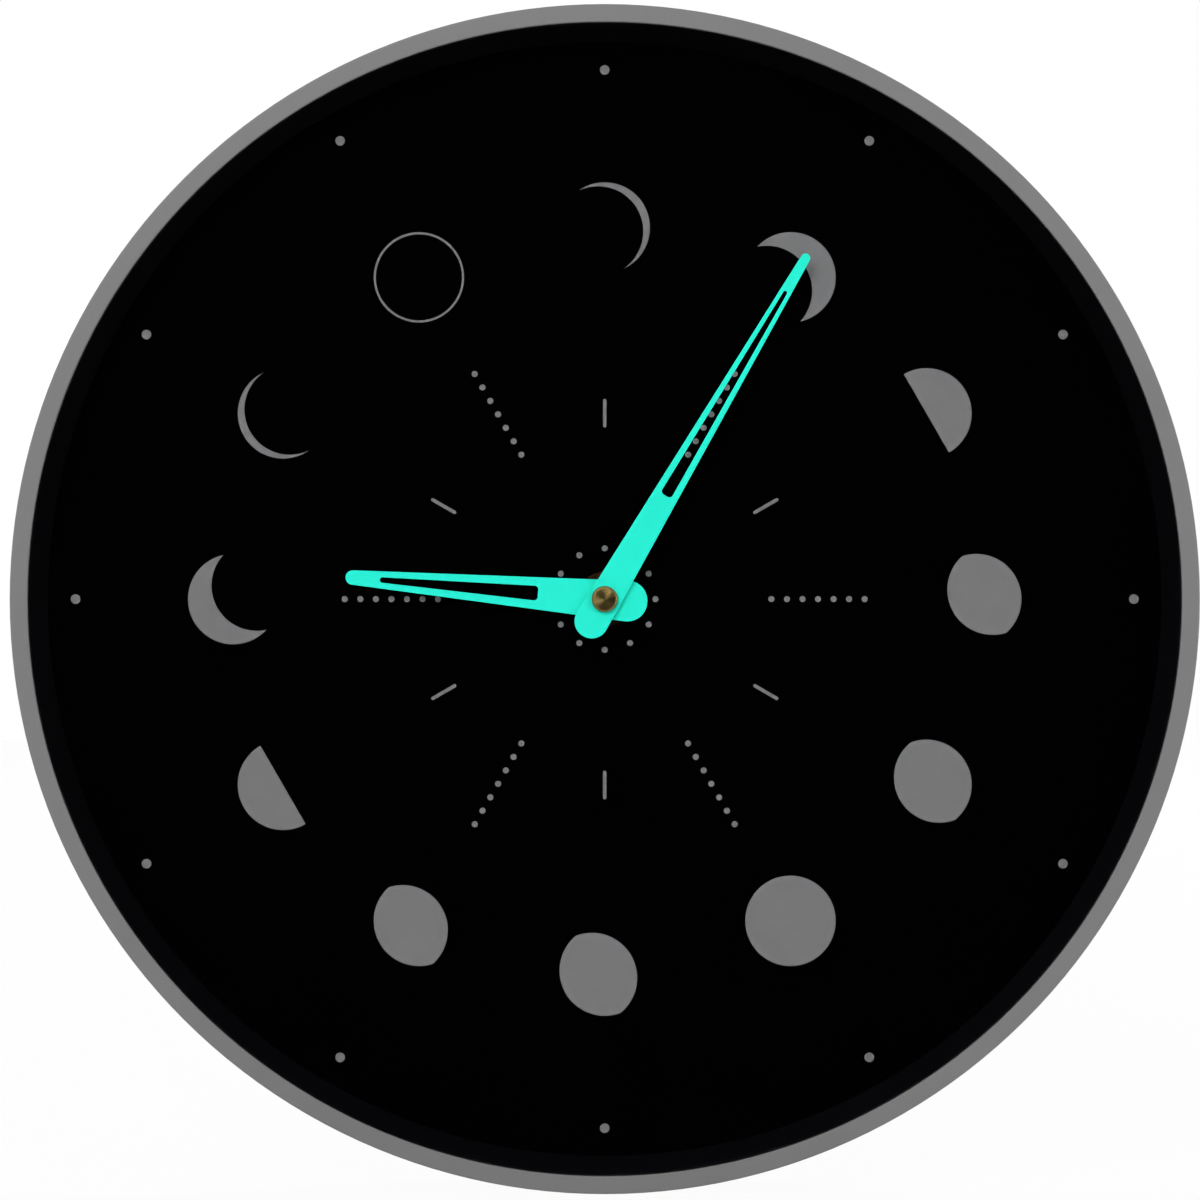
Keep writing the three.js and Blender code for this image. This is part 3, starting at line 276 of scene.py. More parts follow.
def round_edges(piece: Piece, test: Test, width: float, steps: int = ROUND_STEPS) -> None:
    """Rounds some edges of a piece.

    Args:
        piece: piece with sharp edges
        test: says whether an edge is rounded
        width: how far the rounding reaches from an edge
        steps: faces across the rounding
    """
    with editing(piece):
        pick(piece, Part.EDGE, test)
        bpy.ops.mesh.bevel(offset=width, segments=steps)


def apply_step(piece: Piece, kind: str, **options: Any) -> None:
    """Adds a modifier to a piece and applies it.

    Args:
        piece: piece to change
        kind: type of the modifier
        options: its settings
    """
    take(piece)
    step = piece.modifiers.new(kind.lower(), kind)
    for option, value in options.items():
        setattr(step, option, value)
    bpy.ops.object.modifier_apply(modifier=step.name)


def discard(piece: Piece) -> None:
    """Deletes a piece that was only a tool or a pattern."""
    take(piece)
    bpy.ops.object.delete()


def combine(piece: Piece, how: Joining, tool: Piece) -> Piece:
    """Joins a tool to a piece, cuts it out or keeps what they share.

    Args:
        piece: piece that stays
        how: the way to combine them
        tool: closed mesh that is used up
    Returns:
        the piece
    """
    apply_step(piece, "BOOLEAN", operation=how.value, object=tool, solver="EXACT")
    discard(tool)
    return piece


def soften(piece: Piece, width: float, steps: int = 2, least: float = CREASE) -> Piece:
    """Rounds all the sharp edges of a piece.

    Args:
        piece: piece with sharp edges
        width: how far the rounding reaches from an edge
        steps: faces across the rounding
        least: least angle between two faces whose edge is rounded
    Returns:
        the piece
    """
    with editing(piece):
        pick_all()
        bpy.ops.mesh.remove_doubles(threshold=TINY)
    apply_step(piece, "BEVEL", width=width, segments=steps, limit_method="ANGLE", angle_limit=least)
    return piece


def copy_of(piece: Piece) -> Piece:
    """Copies a piece.

    Args:
        piece: pattern that stays
    Returns:
        the copy, with a mesh of its own
    """
    take(piece)
    bpy.ops.object.duplicate(linked=False)
    return bpy.context.active_object


def join(pieces: Sequence[Piece]) -> Piece:
    """Makes several pieces one object.

    Args:
        pieces: pieces that don't overlap
    Returns:
        the first of them, which holds all the meshes
    """
    take(*pieces)
    bpy.ops.object.join()
    return pieces[0]


def ring_of(piece: Piece, count: int, first: float = 0.0) -> Piece:
    """Copies a piece round the hands' axis and joins the copies.

    Args:
        piece: piece in its place at angle zero, which is used up
        count: number of copies
        first: turn of the first copy, clockwise
    Returns:
        the copies as one object
    """
    copies = []
    for index in range(count):
        copy = copy_of(piece)
        copy.rotation_euler.y = first + index * math.tau / count
        copies.append(settle(copy))
    discard(piece)
    return join(copies)


def block(low: Place, high: Place) -> Piece:
    """Adds a block between its lowest and its highest corner."""
    low, high = Vector(low), Vector(high)
    return add(bpy.ops.mesh.primitive_cube_add, high - low, size=1.0, location=(low + high) / 2)


def wedge(low: Place, high: Place, share: float) -> Piece:
    """Adds a block that narrows upwards.

    Args:
        low: lowest corner
        high: highest corner
        share: width at the top as a share of the width at the bottom
    Returns:
        the wedge
    """
    piece = block(low, high)
    top = ((low[0] + high[0]) / 2, 0.0, high[2])
    with editing(piece):
        pick(piece, Part.VERT, lambda vert: vert.co.z > high[2] - NEAR)
        bpy.ops.transform.resize(value=(share, 1.0, 1.0), center_override=top)
    return piece


def bar(radius: float, front: float, back: float, sides: int = SMALL_SIDES, at: Place = (0, 0, 0)) -> Piece:
    """Adds a round bar along Y.

    Args:
        radius: of the bar
        front: depth where it starts
        back: depth where it ends
        sides: of its outline; the first corner is at the top
        at: a point on its axis
    Returns:
        the bar
    """
    size = {"vertices": sides, "radius": radius, "depth": back - front}
    middle = (at[0], (front + back) / 2, at[2])
    return add(bpy.ops.mesh.primitive_cylinder_add, **size, location=middle, rotation=ALONG_Y)


@dataclass(frozen=True)
class Corner:
    """A corner of a turned section: its radius, its depth and how far it is rounded."""

    radius: float
    depth: float
    rounding: float = 0.0

    def point(self) -> Vector:
        """Gives the corner in the plane where the section is drawn."""
        return Vector((self.radius, self.depth, 0.0))

    def holds(self, vert: Any) -> bool:
        """Says whether a vertex lies at the corner."""
        return (vert.co - self.point()).length < NEAR


def ring_section(
    outer: float, inner: float, front: float, back: float,
    rounding: float = 0.0, hole_rounding: float = 0.0, lean: float = 0.0,
) -> list[Corner]:
    """Gives the section of a ring, a tube or a disc with a hole.

    Args:
        outer: outer radius
        inner: radius of the hole in front
        front: depth of the front
        back: depth of the back
        rounding: of the outer edges
        hole_rounding: of the hole's edges
        lean: how much smaller the hole is at the back
    Returns:
        its corners
    """
    return [
        Corner(outer, front, rounding),
        Corner(outer, back, rounding),
        Corner(inner - lean, back, hole_rounding),
        Corner(inner, front, hole_rounding),
    ]


def turn(section: Sequence[Corner], sides: int = FINE_SIDES) -> Piece:
    """Turns a section about the hands' axis.

    Args:
        section: corners of a closed outline; a side on the axis is left open
        sides: steps round the axis
    Returns:
        the turned piece
    """
    piece = add(bpy.ops.mesh.primitive_plane_add, size=MM, location=section[0].point())
    with editing(piece):
        bpy.ops.mesh.select_mode(type="VERT")
        pick_all()
        bpy.ops.mesh.merge(type="CENTER")
        for start, end in zip(section, section[1:]):
            extrude(end.point() - start.point())
        pick_all()
        bpy.ops.mesh.edge_face_add()
        for corner in section:
            if corner.rounding:
                pick(piece, Part.VERT, corner.holds)
                bpy.ops.mesh.bevel(affect="VERTICES", offset=corner.rounding, segments=ROUND_STEPS)
        pick_all()
        bpy.ops.mesh.delete(type="ONLY_FACE")
        pick(piece, Part.EDGE, edges(lambda point: abs(point.x) < NEAR))
        bpy.ops.mesh.delete(type="EDGE")
        pick_all()
        bpy.ops.mesh.spin(steps=sides, angle=math.tau, center=(0, 0, 0), axis=(0, 1, 0))
        pick_all()
        bpy.ops.mesh.remove_doubles(threshold=NEAR)
        face_outwards()
    return piece


def clock_point(radius: float, angle: float) -> Vector:
    """Gives the point at a radius and a clockwise angle from twelve."""
    return Vector((radius * math.sin(angle), 0.0, radius * math.cos(angle)))


def middle_of(node: str) -> Vector:
    """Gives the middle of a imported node's box."""
    low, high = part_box(node)
    return (low + high) / 2


def screw_axes() -> list[Vector]:
    """Gives a point on the axis of each plate screw."""
    return [middle_of(node) for node in sorted(frame["nodes"]) if node.startswith("plate_screw_")]


# Finishes: node groups for what several surfaces share, and one material for each finish


PATCH_DETAIL = 5.0
PATCH_LOW = 0.3  # noise below this is the darkest patch
PATCH_HIGH = 0.7  # noise above this is the lightest patch
RELIEF_DETAIL = 3.0
BRUSH_STRETCH = (1.0, 1.0, 0.02)  # draws the noise out along Z
FLATTEN = (1.0, 0.0, 1.0)


def fill(node: Node, inputs: dict[str | int, Any]) -> None:
    """Fills inputs of a node.

    Args:
        node: the node
        inputs: plain values or other nodes' outputs, by the name or number of an input
    """
    for key, value in inputs.items():
        if isinstance(value, Socket):
            node.id_data.links.new(value, node.inputs[key])
        else:
            node.inputs[key].default_value = value


def add_node(tree: Tree, kind: str, inputs: dict[str | int, Any] | None = None, **options: Any) -> Node:
    """Adds a node, sets its options and fills its inputs.

    Args:
        tree: tree that gets the node
        kind: type of the node, without its prefix
        inputs: plain values or other nodes' outputs, by the name or number of an input
        options: settings of the node
    Returns:
        the node
    """
    node = tree.nodes.new(f"ShaderNode{kind}")
    for option, value in options.items():
        setattr(node, option, value)
    fill(node, inputs or {})
    return node


def calculate(tree: Tree, operation: str, *values: Any) -> Socket:
    """Adds a Math node for plain values or other nodes' outputs, and gives its result."""
    return add_node(tree, "Math", dict(enumerate(values)), operation=operation).outputs[0]


def object_place(tree: Tree) -> Socket:
    """Gives the place on the piece, which doesn't move with it."""
    return add_node(tree, "TexCoord").outputs["Object"]


def distance(tree: Tree, place: Socket) -> Socket:
    """Gives how far a place is from the origin."""
    return add_node(tree, "VectorMath", {0: place}, operation="LENGTH").outputs["Value"]


def mix_into(output: Node, share: Socket, first: Node, second: Node) -> None:
    """Mixes two shaders and shows them.

    Args:
        output: output node of the tree
        share: share of the second shader
        first: shader that shows where the share is 0
        second: shader that shows where the share is 1
    """
    shaders = {0: share, 1: first.outputs[0], 2: second.outputs[0]}
    fill(output, {"Surface": add_node(output.id_data, "MixShader", shaders).outputs[0]})


def new_material(name: str) -> tuple[bpy.types.Material, Tree, Node]:
    """Makes a material.

    Args:
        name: of the material
    Returns:
        the material, its tree and its shader
    """
    material = bpy.data.materials.new(name)
    material.use_nodes = True
    tree = material.node_tree
    return material, tree, tree.nodes["Principled BSDF"]


def new_group(name: str, inputs: dict[str, str], outputs: dict[str, str]) -> tuple[Tree, Node, Node]:
    """Makes an empty node group.

    Args:
        name: of the group
        inputs: kinds of socket by name
        outputs: kinds of socket by name
    Returns:
        the group's tree, its input node and its output node
    """
    tree = bpy.data.node_groups.new(name, "ShaderNodeTree")
    for way, sockets in (("INPUT", inputs), ("OUTPUT", outputs)):
        for socket, kind in sockets.items():
            tree.interface.new_socket(socket, in_out=way, socket_type=f"NodeSocket{kind}")
    return tree, tree.nodes.new("NodeGroupInput"), tree.nodes.new("NodeGroupOutput")


@cache
def mottle_group() -> Tree:
    """Makes the group that varies a colour in soft patches.

    Returns:
        the group's tree, which puts out the colour and the patches as a mask
    """
    inputs = {"Colour": "Color", "Scale": "Float", "Spread": "Float"}
    tree, given, result = new_group("mottle", inputs, {"Colour": "Color", "Mask": "Float"})
    noise = {"Vector": object_place(tree), "Scale": given.outputs["Scale"], "Detail": PATCH_DETAIL}
    patches = add_node(tree, "TexNoise", noise).outputs[0]
    limits = {"Value": patches, "From Min": PATCH_LOW, "From Max": PATCH_HIGH}
    mask = add_node(tree, "MapRange", limits).outputs[0]
    centred = calculate(tree, "SUBTRACT", mask, 0.5)
    swing = calculate(tree, "MULTIPLY_ADD", centred, given.outputs["Spread"], 1.0)
    shaded = add_node(tree, "VectorMath", {0: given.outputs["Colour"], "Scale": swing}, operation="SCALE")
    fill(result, {"Colour": shaded.outputs[0], "Mask": mask})
    return tree


@cache
def relief_group(relief: Relief) -> Tree:
    """Makes the group that puts out the height of a fine relief.

    Args:
        relief: kind of relief
    Returns:
        the group's tree
    """
    tree, given, result = new_group(relief.value, {"Scale": "Float"}, {"Height": "Float"})
    place = object_place(tree)
    if relief is Relief.BRUSHED:
        place = add_node(tree, "Mapping", {"Vector": place, "Scale": BRUSH_STRETCH}).outputs[0]
    if relief is Relief.TURNED:
        flat = add_node(tree, "Mapping", {"Vector": place, "Scale": FLATTEN}).outputs[0]
        place = add_node(tree, "CombineXYZ", {"X": distance(tree, flat)}).outputs[0]
    pattern = {"Vector": place, "Scale": given.outputs["Scale"]}
    if relief is Relief.WOUND:
        height = add_node(tree, "TexWave", pattern).outputs["Fac"]
    else:
        height = add_node(tree, "TexNoise", pattern | {"Detail": RELIEF_DETAIL}).outputs[0]
    fill(result, {"Height": height})
    return tree


@dataclass(frozen=True)
class Finish:
    """A surface finish with soft patches of colour and gloss and a fine relief."""

    name: str
    slot: str
    colour: tuple[float, float, float]
    roughness: float
    metallic: float = 0.0
    specular: float = 0.5
    colour_spread: float = 0.08
    roughness_spread: float = 0.08
    patches: float = 70.0  # of the mottle, per metre
    relief: Relief = Relief.GRAIN
    relief_scale: float = 2500.0  # per metre
    relief_height: float = 0.01 * MM
    # Emission of the surface's own colour, a painted glow: the piece is no lamp.
    glow: float = 0.0
    anisotropy: float = 0.0

    def material(self) -> bpy.types.Material:
        """Gives the material of the finish's name, which is made if there is none yet.

        Returns:
            the material
        """
        if self.name in bpy.data.materials:
            return bpy.data.materials[self.name]
        material, tree, shader = new_material(self.name)
        material.diffuse_color = (*self.colour, 1.0)
        self.wire(tree, shader)
        return material

    def wire(self, tree: Tree, shader: Node) -> None:
        """Wires the patches and the relief to the material's shader.

        Args:
            tree: node tree of the material
            shader: its shader
        """
        colour = (*self.colour, 1.0)
        patches = {"Colour": colour, "Scale": self.patches, "Spread": self.colour_spread}
        mottle = add_node(tree, "Group", patches, node_tree=mottle_group()).outputs
        shaded = mottle["Colour"] if self.colour_spread else colour
        limits = {
            "Value": mottle["Mask"],
            "To Min": max(0.0, self.roughness - self.roughness_spread / 2),
            "To Max": self.roughness + self.roughness_spread / 2,
        }
        relief = add_node(tree, "Group", {"Scale": self.relief_scale}, node_tree=relief_group(self.relief))
        bump = {"Height": relief.outputs["Height"], "Distance": self.relief_height}
        surface = {
            "Base Color": shaded,
            "Metallic": self.metallic,
            "Roughness": add_node(tree, "MapRange", limits).outputs[0],
            "Specular IOR Level": self.specular,
            "Normal": add_node(tree, "Bump", bump).outputs[0],
        }
        # Painted glow: the surface emits its own colour on top of the lamps' light.
        if self.glow:
            surface |= {"Emission Color": shaded, "Emission Strength": self.glow}
        if self.anisotropy:
            tangent = add_node(tree, "Tangent", direction_type="RADIAL", axis="Y").outputs[0]
            surface |= {"Anisotropic": self.anisotropy, "Tangent": tangent}
        fill(shader, surface)

    def dress(self, piece: Piece) -> None:
        """Gives a piece this finish alone."""
        piece.data.materials.clear()
        piece.data.materials.append(self.material())


@dataclass(frozen=True)
class GlassFinish(Finish):
    """Clear glass that lets the lamps' light through to what is behind it."""

    ior: float = 1.3  # low, as of coated glass that mirrors little

    def wire(self, tree: Tree, shader: Node) -> None:
        """Wires the glass, and a clear way through it for the light of the lamps.

        Args:
            tree: node tree of the material
            shader: its shader
        """
        super().wire(tree, shader)
        fill(shader, {"Transmission Weight": 1.0, "IOR": self.ior})
        lamps = add_node(tree, "LightPath").outputs["Is Shadow Ray"]
        mix_into(tree.nodes["Material Output"], lamps, shader, add_node(tree, "BsdfTransparent"))


CASE_PAINT = Finish("satin_grey_paint", "case_grey", (0.21, 0.21, 0.21), 0.5, colour_spread=0.03)
PANE = GlassFinish(
    "clear_pane", "clear_glass", (1.0, 1.0, 1.0), 0.006,
    colour_spread=0.0, roughness_spread=0.012, relief_scale=40.0, relief_height=0.0005 * MM,
)
DIAL_BLACK = Finish(
    "dial_black", "black_matt", (0.0003, 0.0003, 0.0003), 0.6, specular=0.004, colour_spread=0.5
)
WALL_BLACK = Finish(
    "wall_black", "black_matt", (0.0015, 0.0015, 0.0024), 0.55, specular=0.06, colour_spread=0.3
)
MOON_INK = Finish(
    "moon_ink", "print_grey", (0.186, 0.186, 0.19), 0.65, specular=0.2, colour_spread=0.04,
    patches=400.0, relief_scale=6000.0, relief_height=0.004 * MM,
)
# Aqua lacquer of the hands. Its emission is a painted glow: the hands shine with their own colour, which
# also lifts the shade that one hand casts on the other.
AQUA_PAINTED_GLOW = Finish(
    "luminous_aqua", "aqua_lacquer", (0.0165, 0.8, 0.615), 0.45, specular=0.12, colour_spread=0.03,
    glow=0.12, relief_scale=4000.0, relief_height=0.006 * MM,
)
TURNED_BRASS = Finish(
    "turned_brass", "brass", (0.22, 0.16, 0.055), 0.32, metallic=1.0, colour_spread=0.12, patches=500.0,
    relief=Relief.TURNED, relief_scale=9000.0, relief_height=0.003 * MM, anisotropy=0.8,
)
DULL_BRASS = Finish(
    "dull_brass", "brass", (0.36, 0.2, 0.06), 0.42, metallic=1.0, colour_spread=0.2, patches=300.0
)
# Brass darkened almost to black: painted shade for the clamp nut and its washer, which lie in shade under
# the hands.
BRASS_PAINTED_SHADE = Finish(
    "aged_brass", "brass", (0.03, 0.014, 0.005), 0.5, metallic=1.0, colour_spread=0.3, patches=300.0
)
ZINC = Finish(
    "zinc_plate", "zinc_steel", (0.55, 0.56, 0.57), 0.36, metallic=1.0, colour_spread=0.12,
    roughness_spread=0.14, patches=180.0,
    relief=Relief.BRUSHED, relief_scale=5000.0, relief_height=0.003 * MM,
)
BLACK_MOULDING = Finish(
    "black_moulding", "black_plastic", (0.012, 0.012, 0.013), 0.52, specular=0.4, colour_spread=0.25,
    roughness_spread=0.14, relief_scale=1800.0, relief_height=0.03 * MM,
)
WHITE_MOULDING = Finish("white_moulding", "white_plastic", (0.74, 0.73, 0.68), 0.45, colour_spread=0.05)
RUBBER = Finish("matt_rubber", "rubber", (0.012, 0.012, 0.012), 0.85, specular=0.25, colour_spread=0.3)
COPPER = Finish(
    "enamelled_copper", "copper_wire", (0.43, 0.15, 0.05), 0.35, metallic=1.0,
    relief=Relief.WOUND, relief_scale=1200.0, relief_height=0.05 * MM,
)
BOARD_GREEN = Finish("board_green", "green_board", (0.012, 0.1, 0.035), 0.4, colour_spread=0.2)
MAGNET = Finish("sintered_magnet", "magnet_grey", (0.1, 0.105, 0.115), 0.55, metallic=0.8, colour_spread=0.3)
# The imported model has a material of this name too, and the cell shows that one
JACKET = Finish(
    "battery_jacket", "battery_jacket", (0.045, 0.065, 0.09), 0.32, metallic=0.3, colour_spread=0.1
)
NODE_FINISHES = (
    CASE_PAINT, PANE, DIAL_BLACK, MOON_INK, AQUA_PAINTED_GLOW, DULL_BRASS, ZINC, BLACK_MOULDING,
    WHITE_MOULDING, RUBBER, COPPER, BOARD_GREEN, MAGNET, JACKET,
)
FINISH_OF_SLOT = {finish.slot: finish for finish in NODE_FINISHES}


def hand_over(piece: Piece, name: str, body: Body, finish: Finish, *nodes: str) -> Piece:
    """Shades and names a piece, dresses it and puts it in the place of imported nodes.

    Args:
        piece: finished mesh
        name: of the piece
        body: moving group that carries it
        finish: its finish
        nodes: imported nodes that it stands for
    Returns:
        the piece
    """
    if not piece.data.polygons:
        raise ValueError(f"{name} has no faces")
    take(piece)
    bpy.ops.object.shade_smooth_by_angle(angle=SMOOTH)
    apply_step(piece, "WEIGHTED_NORMAL", keep_sharp=True)
    piece.name = name
    piece.data.name = name
    finish.dress(piece)
    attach(piece, body.value)
    if nodes:
        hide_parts(*nodes)
    return piece


# Sub-assemblies


class SubAssembly(ABC):
    """A group of pieces that are made together."""

    @abstractmethod
    def build(self) -> list[Piece]:
        """Models the pieces, dresses them and gives them back."""


@dataclass
class CaseRing(SubAssembly):
    """Round case with a narrow front lip and snap lugs behind the back plate."""

    wall: float = 2.4 * MM
    lip_width: float = 4.5 * MM
    lip_thickness: float = 1.5 * MM
    outer_rounding: float = 0.6 * MM
    inner_rounding: float = 0.3 * MM
    lug_count: int = 6
    lug_height: float = 1.5 * MM
    lug_depth: float = 3.5 * MM
    lug_length: float = 14 * MM
    lug_lead: float = 1.1 * MM  # of the ramp that the plate snaps over
    lug_rounding: float = 0.2 * MM

    def ring(self, bore: float) -> Piece:
        """Turns the wall and the lip.

        Args:
            bore: radius inside the wall
        Returns:
            the ring
        """
        low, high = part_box("case_ring")
        lip_inner = high.x - self.lip_width
        lip_back = low.y + self.lip_thickness
        section = [
            Corner(high.x, low.y, self.outer_rounding),
            Corner(high.x, high.y, self.outer_rounding),
            Corner(bore, high.y, self.inner_rounding),
            Corner(bore, lip_back),
            Corner(lip_inner, lip_back, self.inner_rounding),
            Corner(lip_inner, low.y, self.inner_rounding),
        ]
        return turn(section)

    def lugs(self, bore: float) -> Piece:
        """Models one snap lug with its ramp and copies it round the bore.

        Args:
            bore: radius inside the wall
        Returns:
            the lugs as one object
        """
        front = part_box("wall_hanger")[0].y
        back = front + self.lug_depth
        inner = bore - self.lug_height
        half = self.lug_length / 2
        lug = block((inner, front, -half), (bore + self.wall / 2, back, half))
        ramp = edges(lambda point: point.x < inner + NEAR and point.y > back - NEAR)
        round_edges(lug, ramp, self.lug_lead, steps=1)
        return ring_of(soften(lug, self.lug_rounding), self.lug_count, math.pi / 2)

    def build(self) -> list[Piece]:
        """Turns the case and fuses the lugs to it.

        Returns:
            the case
        """
        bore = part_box("case_ring")[1].x - self.wall
        shell = combine(self.ring(bore), Joining.FUSE, self.lugs(bore))
        return [hand_over(shell, "case_shell", Body.CLOCK, CASE_PAINT, "case_ring")]


@dataclass
class FrontGlass(SubAssembly):
    """Flat cover glass with a ground rim."""

    rim: float = 0.4 * MM

    def build(self) -> list[Piece]:
        """Models the pane and grinds its rim.

        Returns:
            the pane
        """
        low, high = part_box("front_glass")
        pane = soften(bar(high.x, low.y, high.y, FINE_SIDES), self.rim, steps=1, least=SQUARE)
        return [hand_over(pane, "glass_pane", Body.CLOCK, PANE, "front_glass")]


@dataclass
class DialStack(SubAssembly):
    """Black spacer ring, dial sheet and ribbed back plate, which the screws hold together."""

    spacer_inner: float = 145.5 * MM  # in front, at the edge of the lip
    spacer_lean: float = 3.9 * MM
    rounding: float = 0.15 * MM
    centre_hole: float = 4.15 * MM
    screw_hole: float = 1.15 * MM
    pilot_depth: float = 3 * MM
    rib_count: int = 12
    rib_width: float = 1.6 * MM
    rib_height: float = 2 * MM
    rib_inner: float = 47.5 * MM
    rib_outer: float = 136.9 * MM
    rib_rounding: float = 0.45 * MM
    plate_rounding: float = 0.5 * MM

    def drill(self, piece: Piece, front: float, back: float) -> Piece:
        """Cuts the screws' holes.

        Args:
            piece: piece to drill
            front: depth where the holes start
            back: depth where they end
        Returns:
            the piece
        """
        drills = [bar(self.screw_hole, front, back, DRILL_SIDES, axis) for axis in screw_axes()]
        return combine(piece, Joining.CUT, join(drills))

    def sheet(self, node: str, back: float, rounding: float) -> Piece:
        """Turns a disc with the centre hole and drills it for the screws.

        Args:
            node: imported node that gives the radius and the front
            back: depth of the rear face
            rounding: of the outer edges
        Returns:
            the disc
        """
        low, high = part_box(node)
        disc = turn(ring_section(high.x, self.centre_hole, low.y, back, rounding))
        return self.drill(disc, low.y - PASS, back + PASS)

    def spacer(self) -> Piece:
        """Turns the leaning inner wall and drills the screws' pilot holes.

        Returns:
            the wall
        """
        low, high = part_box("spacer_ring")
        section = ring_section(
            high.x, self.spacer_inner, low.y, high.y, self.rounding, self.rounding, self.spacer_lean
        )
        return self.drill(turn(section), high.y - self.pilot_depth, high.y + PASS)

    def plate(self) -> Piece:
        """Turns the back plate and fuses its ribs to it.

        Returns:
            the plate
        """
        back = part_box("back_plate")[1].y - self.rib_height
        half = self.rib_width / 2
        rib = block((self.rib_inner, back - PASS, -half), (self.rib_outer, back + self.rib_height, half))
        round_edges(rib, edges(lambda point: point.y > back), self.rib_rounding)
        ribs = ring_of(rib, self.rib_count, HOUR_STEP / 2)
        return combine(self.sheet("back_plate", back, self.plate_rounding), Joining.FUSE, ribs)

    def build(self) -> list[Piece]:
        """Models the three layers.

        Returns:
            the wall, the dial and the plate
        """
        dial = self.sheet("dial_plate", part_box("dial_plate")[1].y, self.rounding)
        return [
            hand_over(self.spacer(), "spacer_wall", Body.CLOCK, WALL_BLACK, "spacer_ring"),
            hand_over(dial, "dial_sheet", Body.CLOCK, DIAL_BLACK, "dial_plate"),
            hand_over(self.plate(), "ribbed_plate", Body.CLOCK, BLACK_MOULDING, "back_plate"),
        ]


@dataclass(frozen=True)
class Moon:
    """One printed moon: its hour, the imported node, its shape and which edge is bright."""

    hour: int
    node: str
    phase: Phase
    offset: float = 0.0
    growing: bool = True


# How far the circle that cuts a moon is moved, from a thin crescent to a nearly full moon
THIN = 1.95 * MM
YOUNG = 6.9 * MM
ROUND = 4.8 * MM
ROUNDER = 3.75 * MM
MOONS = (
    Moon(12, "moon_12_thin_crescent", Phase.CRESCENT, THIN),
    Moon(1, "moon_1_crescent", Phase.CRESCENT, YOUNG),
    Moon(2, "moon_2_first_quarter", Phase.QUARTER),
    Moon(3, "moon_3_gibbous", Phase.GIBBOUS, ROUND),
    Moon(4, "moon_4_near_full", Phase.GIBBOUS, ROUNDER),
    Moon(5, "moon_5_full", Phase.FULL),
    Moon(6, "moon_6_past_full", Phase.GIBBOUS, ROUNDER, growing=False),
    Moon(7, "moon_7_waning_gibbous", Phase.GIBBOUS, ROUND, growing=False),
    Moon(8, "moon_8_last_quarter", Phase.QUARTER, growing=False),
    Moon(9, "moon_9_waning_crescent", Phase.CRESCENT, YOUNG, growing=False),
    Moon(10, "moon_10_thin_waning_crescent", Phase.CRESCENT, THIN, growing=False),
    Moon(11, "moon_11_new", Phase.NEW),
)


